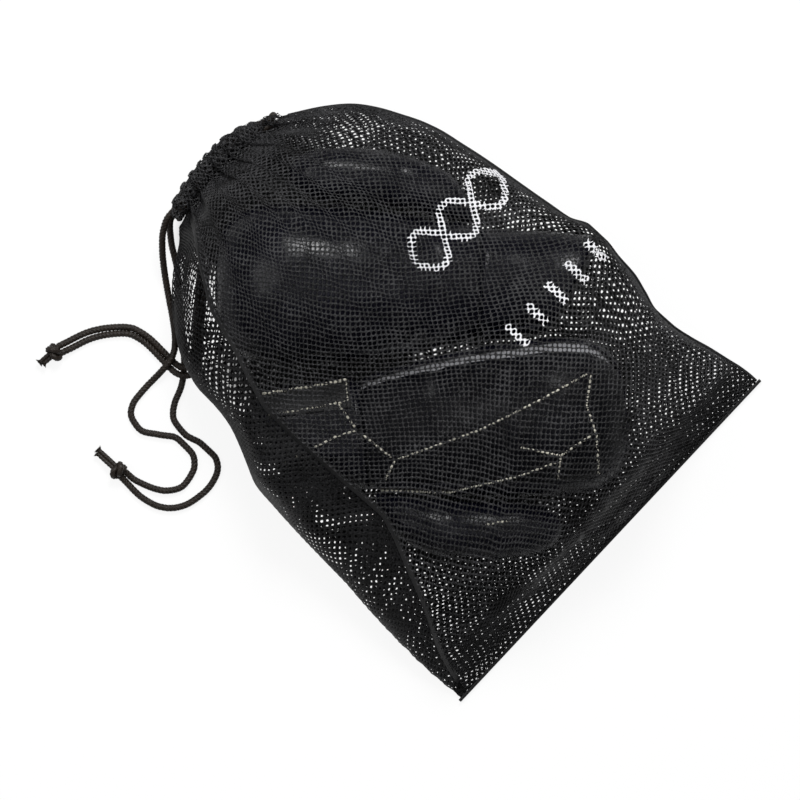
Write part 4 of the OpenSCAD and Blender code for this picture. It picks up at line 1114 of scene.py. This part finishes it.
def creased(g):
    """Height of the soft creases over a grid."""
    u, v = g[..., 0], g[..., 1] + Y_MID
    up = np.zeros(u.shape)
    for x0, y0, x1, y1, wide, high in CREASES:
        dx, dy = x1 - x0, y1 - y0
        size = math.hypot(dx, dy)
        t = ((u - x0) * dx + (v - y0) * dy) / size ** 2
        d = ((u - x0) * dy - (v - y0) * dx) / size
        d = d + 4 * np.sin(5 * t + x0)
        ends = smooth(t / 0.2 + 0.4) * smooth((1 - t) / 0.2 + 0.4)
        up += high * ends * (np.exp(-(d / wide) ** 2)
                             - 0.35 * np.exp(-((d - 1.8 * wide) / wide) ** 2))
    return up


COVER_ROOM = 2.6


def lift_clear(g, above=0):
    """Lift the points of a grid that have sunk into the gloves' room, if they lie above."""
    z = g[..., 2]
    low = cover(g[..., 0], g[..., 1] + Y_MID, COVER_ROOM)
    z[:] = np.where(z > above, np.maximum(z, low), z)


def make_net():
    # front panel
    g, length = refine(front_rows(), 200, 220)
    g = soften(g, 10)
    lift_clear(g[2:-2, 2:-2])
    g = soften(g, 6)
    a, b = shares(g)
    ripple = 0.5 + 0.8 * smooth((b - 0.35) / 0.5) * np.sin(TURN * 7 * a + 2 * np.sin(3 * b))
    fade = np.clip(np.minimum(np.minimum(a, 1 - a) / 0.04, b / 0.05), 0, 1)
    g = g + normals(g) * ((np.maximum(0, creased(g)) + ripple) * fade)[..., None]
    g = pleated(g, 6, 3.4, 1)
    o, (u, v, _) = net_piece("front_net", NET, g, BAG_WIDTH, length, 1.62, seed=4,
                             uneven=1.2, vary=0.08, wide=1.17)
    o.data.materials.append(PRINT)
    o.data.polygons.foreach_set("material_index", motif(u, v + Y_MID).astype(np.int32))
    stand_for(o, "front_net_panel", "bag")
    # back panel
    g, length = refine(back_rows(), 240, 220)
    g = soften(g, 8)
    lift_clear(g[:, :60], 20)
    g = pleated(soften(g, 4), 11, 3.6, 2, 0.24)
    o, _ = net_piece("back_net", NET_IN_PAINTED_SHADE, g, BAG_WIDTH, length, 0.88, seed=9, turn=True,
                     vary=0.24, places=STRETCH, low=0.25)
    stand_for(o, "back_net_panel", "bag")


make_net()


# ---- seams, binding, casings

def tape_between(name, cad_node, left, right, thick):
    """A sewn tape between two edge lines [n, 3], with a raised edge and stitch dimples."""
    rows = 240
    a, b = resample(left, rows), resample(right, rows)
    f = np.linspace(0, 1, 9)[None, :, None]
    mid = mix(a[:, None], b[:, None], f)
    n = unit(np.cross(b - a, np.gradient((a + b) / 2, axis=0)))[:, None]
    n = np.where(n[..., 2:] < 0, -n, n)
    half = thick / 2 * (0.55 + 0.45 * (1 - (2 * f - 1) ** 6))
    s = np.arange(rows)[:, None, None]
    dimple = 0.22 * np.exp(-((f - 0.5) / 0.09) ** 2) * (0.5 + 0.5 * np.cos(s * TURN / 2.4))
    o = make(name, *slab(mid + n * (half - dimple), mid - n * half), TAPE)
    stand_for(o, cad_node, "bag")


def make_seams():
    w = 2.4
    left, right = [lay(SEAM_U + k * w, ROW_V, Z[:, N_STRIP + j] - 1.2)
                   for k, j in ((-1, -1), (1, 0))]
    left[:2, 2] += 0.1
    tape_between("left_seam_tape", "left_side_seam", left, right, 1.2)
    left, right = [lay(EDGE_R + k, ROW_V, edge_z(ROW_V)) for k in (0.1, 2.2)]
    tape_between("right_seam_tape", "right_side_seam", left, right, 1.6)
    # bottom binding: folded tape round the edges of both panels, with dimples on its top
    t = NET_THICK
    top = 1.8 * t + SEAT
    x = np.linspace(bag_side(0, *LEFT_SIDE) - 0.5, bag_side(0, *RIGHT_SIDE) + 0.5, 320)
    y, z = np.array([[-4, 0.25], [-3.5, 0], [-2, 0], [-1.5, 0.3], [-3.1, t - 0.3],
                     [-3.1, t + 1.1], [-1.6, top + 1.5], [-1.4, top + 1.8], [-1.7, top + 2.1],
                     [-2.4, top + 2.2], [-3.4, top + 1.9], [-4, 2.6]]).T
    dimple = 0.15 * (0.5 + 0.5 * np.cos(np.arange(len(x)) * TURN / 2.3))[:, None]
    v = np.stack(np.broadcast_arrays(x, y - Y_MID, z - dimple * (z > 3.9)), -1)
    v, f = loft(v)
    o = make("bottom_tape", v, [q[::-1] for q in f], TAPE)
    stand_for(o, "bottom_binding", "bag")


make_seams()


def make_casing(name, cad_node, z, seed):
    """The hem's casing, gathered into scallops on the cord, of the same net."""
    na, nb, folds = 900, 44, 10
    first, last = -1.14, 0.88
    a = np.linspace(0, 1, na)
    f = folds * a + 0.2 * np.sin(TURN * 1.6 * a + seed)
    t = first + (last - first) * (a - 0.1 / folds * np.sin(4 * math.pi * f))
    centre, even = [np.array([hem_pt(k, z, 0) for k in q])
                    for q in (t, np.linspace(first, last, na))]
    tan = unit(np.gradient(even, axis=0))
    side = unit(np.cross([0, 0, 1], tan))
    size = 0.85 + 0.15 * np.sin(TURN * 3.3 * a + 2 * seed)
    rad = HEM_RADIUS * (0.86 + 0.14 * size * np.sin(TURN * f))
    rad = rad * (1 - 0.4 * smooth((first + 0.16 - t) / 0.16))
    rad = rad * (1 - 0.45 * smooth((t - last + 0.2) / 0.2))
    twist = 0.6 * np.sin(math.pi * f + seed)
    w = np.linspace(0, TURN, nb)[:, None, None]
    g = (centre[None] + rad[None, :, None] * (np.cos(w) * side[None]
                                              + np.sin(w) * np.array([0, 0, 1]))
         + np.sin(2 * w + 1) * twist[None, :, None] * tan[None])
    o, _ = net_piece(name, NET, g, 182.0, 48.5, 1.42, seed, turn=True)
    stand_for(o, cad_node, "bag")


make_casing("front_hem_gather", "front_hem_casing", FRONT_Z, 1)
make_casing("back_hem_gather", "back_hem_casing", BACK_Z, 2)


# ---- stitching on the gloves

# the seams of the right glove that show through the net, as plan lines [x, y]
SEAMS = [
    [(-68.4, 235.2), (-73.9, 206.2), (-70.6, 168.0)],
    [(-73.9, 206.2), (-89.8, 215.1), (-135.8, 231.8)],
    [(-70.6, 168.0), (-7.2, 135.1), (42.7, 116.6), (86.0, 102.9)],
    [(-70.6, 168.0), (-87.6, 162.9)],
    [(-96.1, 160.4), (-59.3, 118.8), (-11.5, 87.5), (18.8, 72.5)],
    [(4.7, 102.7), (21.7, 75.2), (49.5, 68.7)],
    [(21.7, 75.2), (6.2, 62.9)],
    [(84.2, 101.3), (64.2, 87.9), (52.2, 65.8), (30.7, 42.4)],
    [(-121.4, 158.4), (-106.2, 159.6)],
    [(-59.4, 80.7), (-40.3, 66.0)],
]
SKY, LOWEST = 300, 20  # where rays from above start, and the lowest surface they may find


def tree_of(side, bodies):
    v, f = gather([(v, f) for v, f, body in SURFACES[side] if body in bodies])
    return BVHTree.FromPolygons([Vector(p) for p in v], f)


def straight_down(tree, x, y):
    return tree.ray_cast(Vector((x, y, SKY)), Vector((0, 0, -1)))[:2]


def on_top(tree, pts):
    """Points of a plan line, 1 mm apart, laid on the surface seen from above."""
    p = np.array([[u, v - Y_MID, 0] for u, v in pts], float)
    n = max(2, int(length_of(p)))
    s = run(p) / length_of(p)
    x, y = [np.interp(np.linspace(0, 1, n), s, p[:, k]) for k in range(2)]
    hits = [straight_down(tree, *q) for q in zip(x, y)]
    hits = [(at, up) for at, up in hits if at is not None and at.z > LOWEST]
    return [np.array([list(h[k]) for h in hits]) for k in range(2)]


def stitches(p, nrm, gap=0.7, radius=1.0):
    """Rows of short raised stitches along surface points."""
    if len(p) < 3:
        return []
    long, lift = 3.4, 0.6
    s = run(p)
    parts = []
    at = 0.5
    while at + long < s[-1]:
        q = np.linspace(at, at + long, 6)
        pts = np.stack([np.interp(q, s, p[:, k]) for k in range(3)], 1)
        n = np.array([np.interp(at + long / 2, s, nrm[:, k]) for k in range(3)])
        n = n / np.linalg.norm(n)
        hump = np.sin(np.linspace(0, math.pi, 6))[:, None]
        w = radius * np.array([0.35, 0.85, 1, 1, 0.85, 0.35])[:, None]
        parts.append(tube(pts + n * (lift + 0.25 * hump), w, 7))
        at += long + gap
    return parts


def make_stitching():
    tree, flap = tree_of("right", ("glove", "thumb", "strap")), tree_of("right", ("strap",))
    # what lies on the strap goes with it
    on_glove, on_strap = [], []
    for pts in SEAMS:
        p, n = on_top(tree, pts)
        if len(p) < 3:
            continue
        hits = [straight_down(flap, x, y)[0] for x, y, _ in p]
        rides = np.array([h is not None and abs(h.z - z) < 0.5 for h, z in zip(hits, p[:, 2])])
        on_glove += stitches(p[~rides], n[~rides])
        on_strap += stitches(p[rides], n[rides])
    for name, parts, body in (("right_seam_stitches", on_glove, "right_glove"),
                              ("right_strap_stitches", on_strap, "right_strap")):
        if parts:
            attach(make(name, *gather(parts), THREAD), body)
    # label border on the strap: sewn round with a thick top line
    half, s = LABEL_LENGTH / 2 - 2, np.linspace(0, 1, 60)
    x0, x1 = STRAP_X - half, STRAP_X + half
    for side in SIDES:
        parts = []
        for xa, aa, xb, ab, wide, gap in (
                (x0, 210, x1, 210, 1.4, 0.4), (x0, 244, x1, 240, 0.9, 0.9),
                (x0, 210, x0, 244, 0.9, 0.9), (x1, 210, x1, 240, 0.9, 0.9)):
            p, out = [placed(side, form(mix(xa, xb, s), np.radians(mix(aa, ab, s)),
                                        -LABEL_LOW - LABEL_THICK - up, SLANT[side]))
                      for up in (0, 1)]
            parts += stitches(p, unit(out - p), gap, wide)
        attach(make(side + "_label_stitches", *gather(parts), THREAD), side + "_strap")


make_stitching()
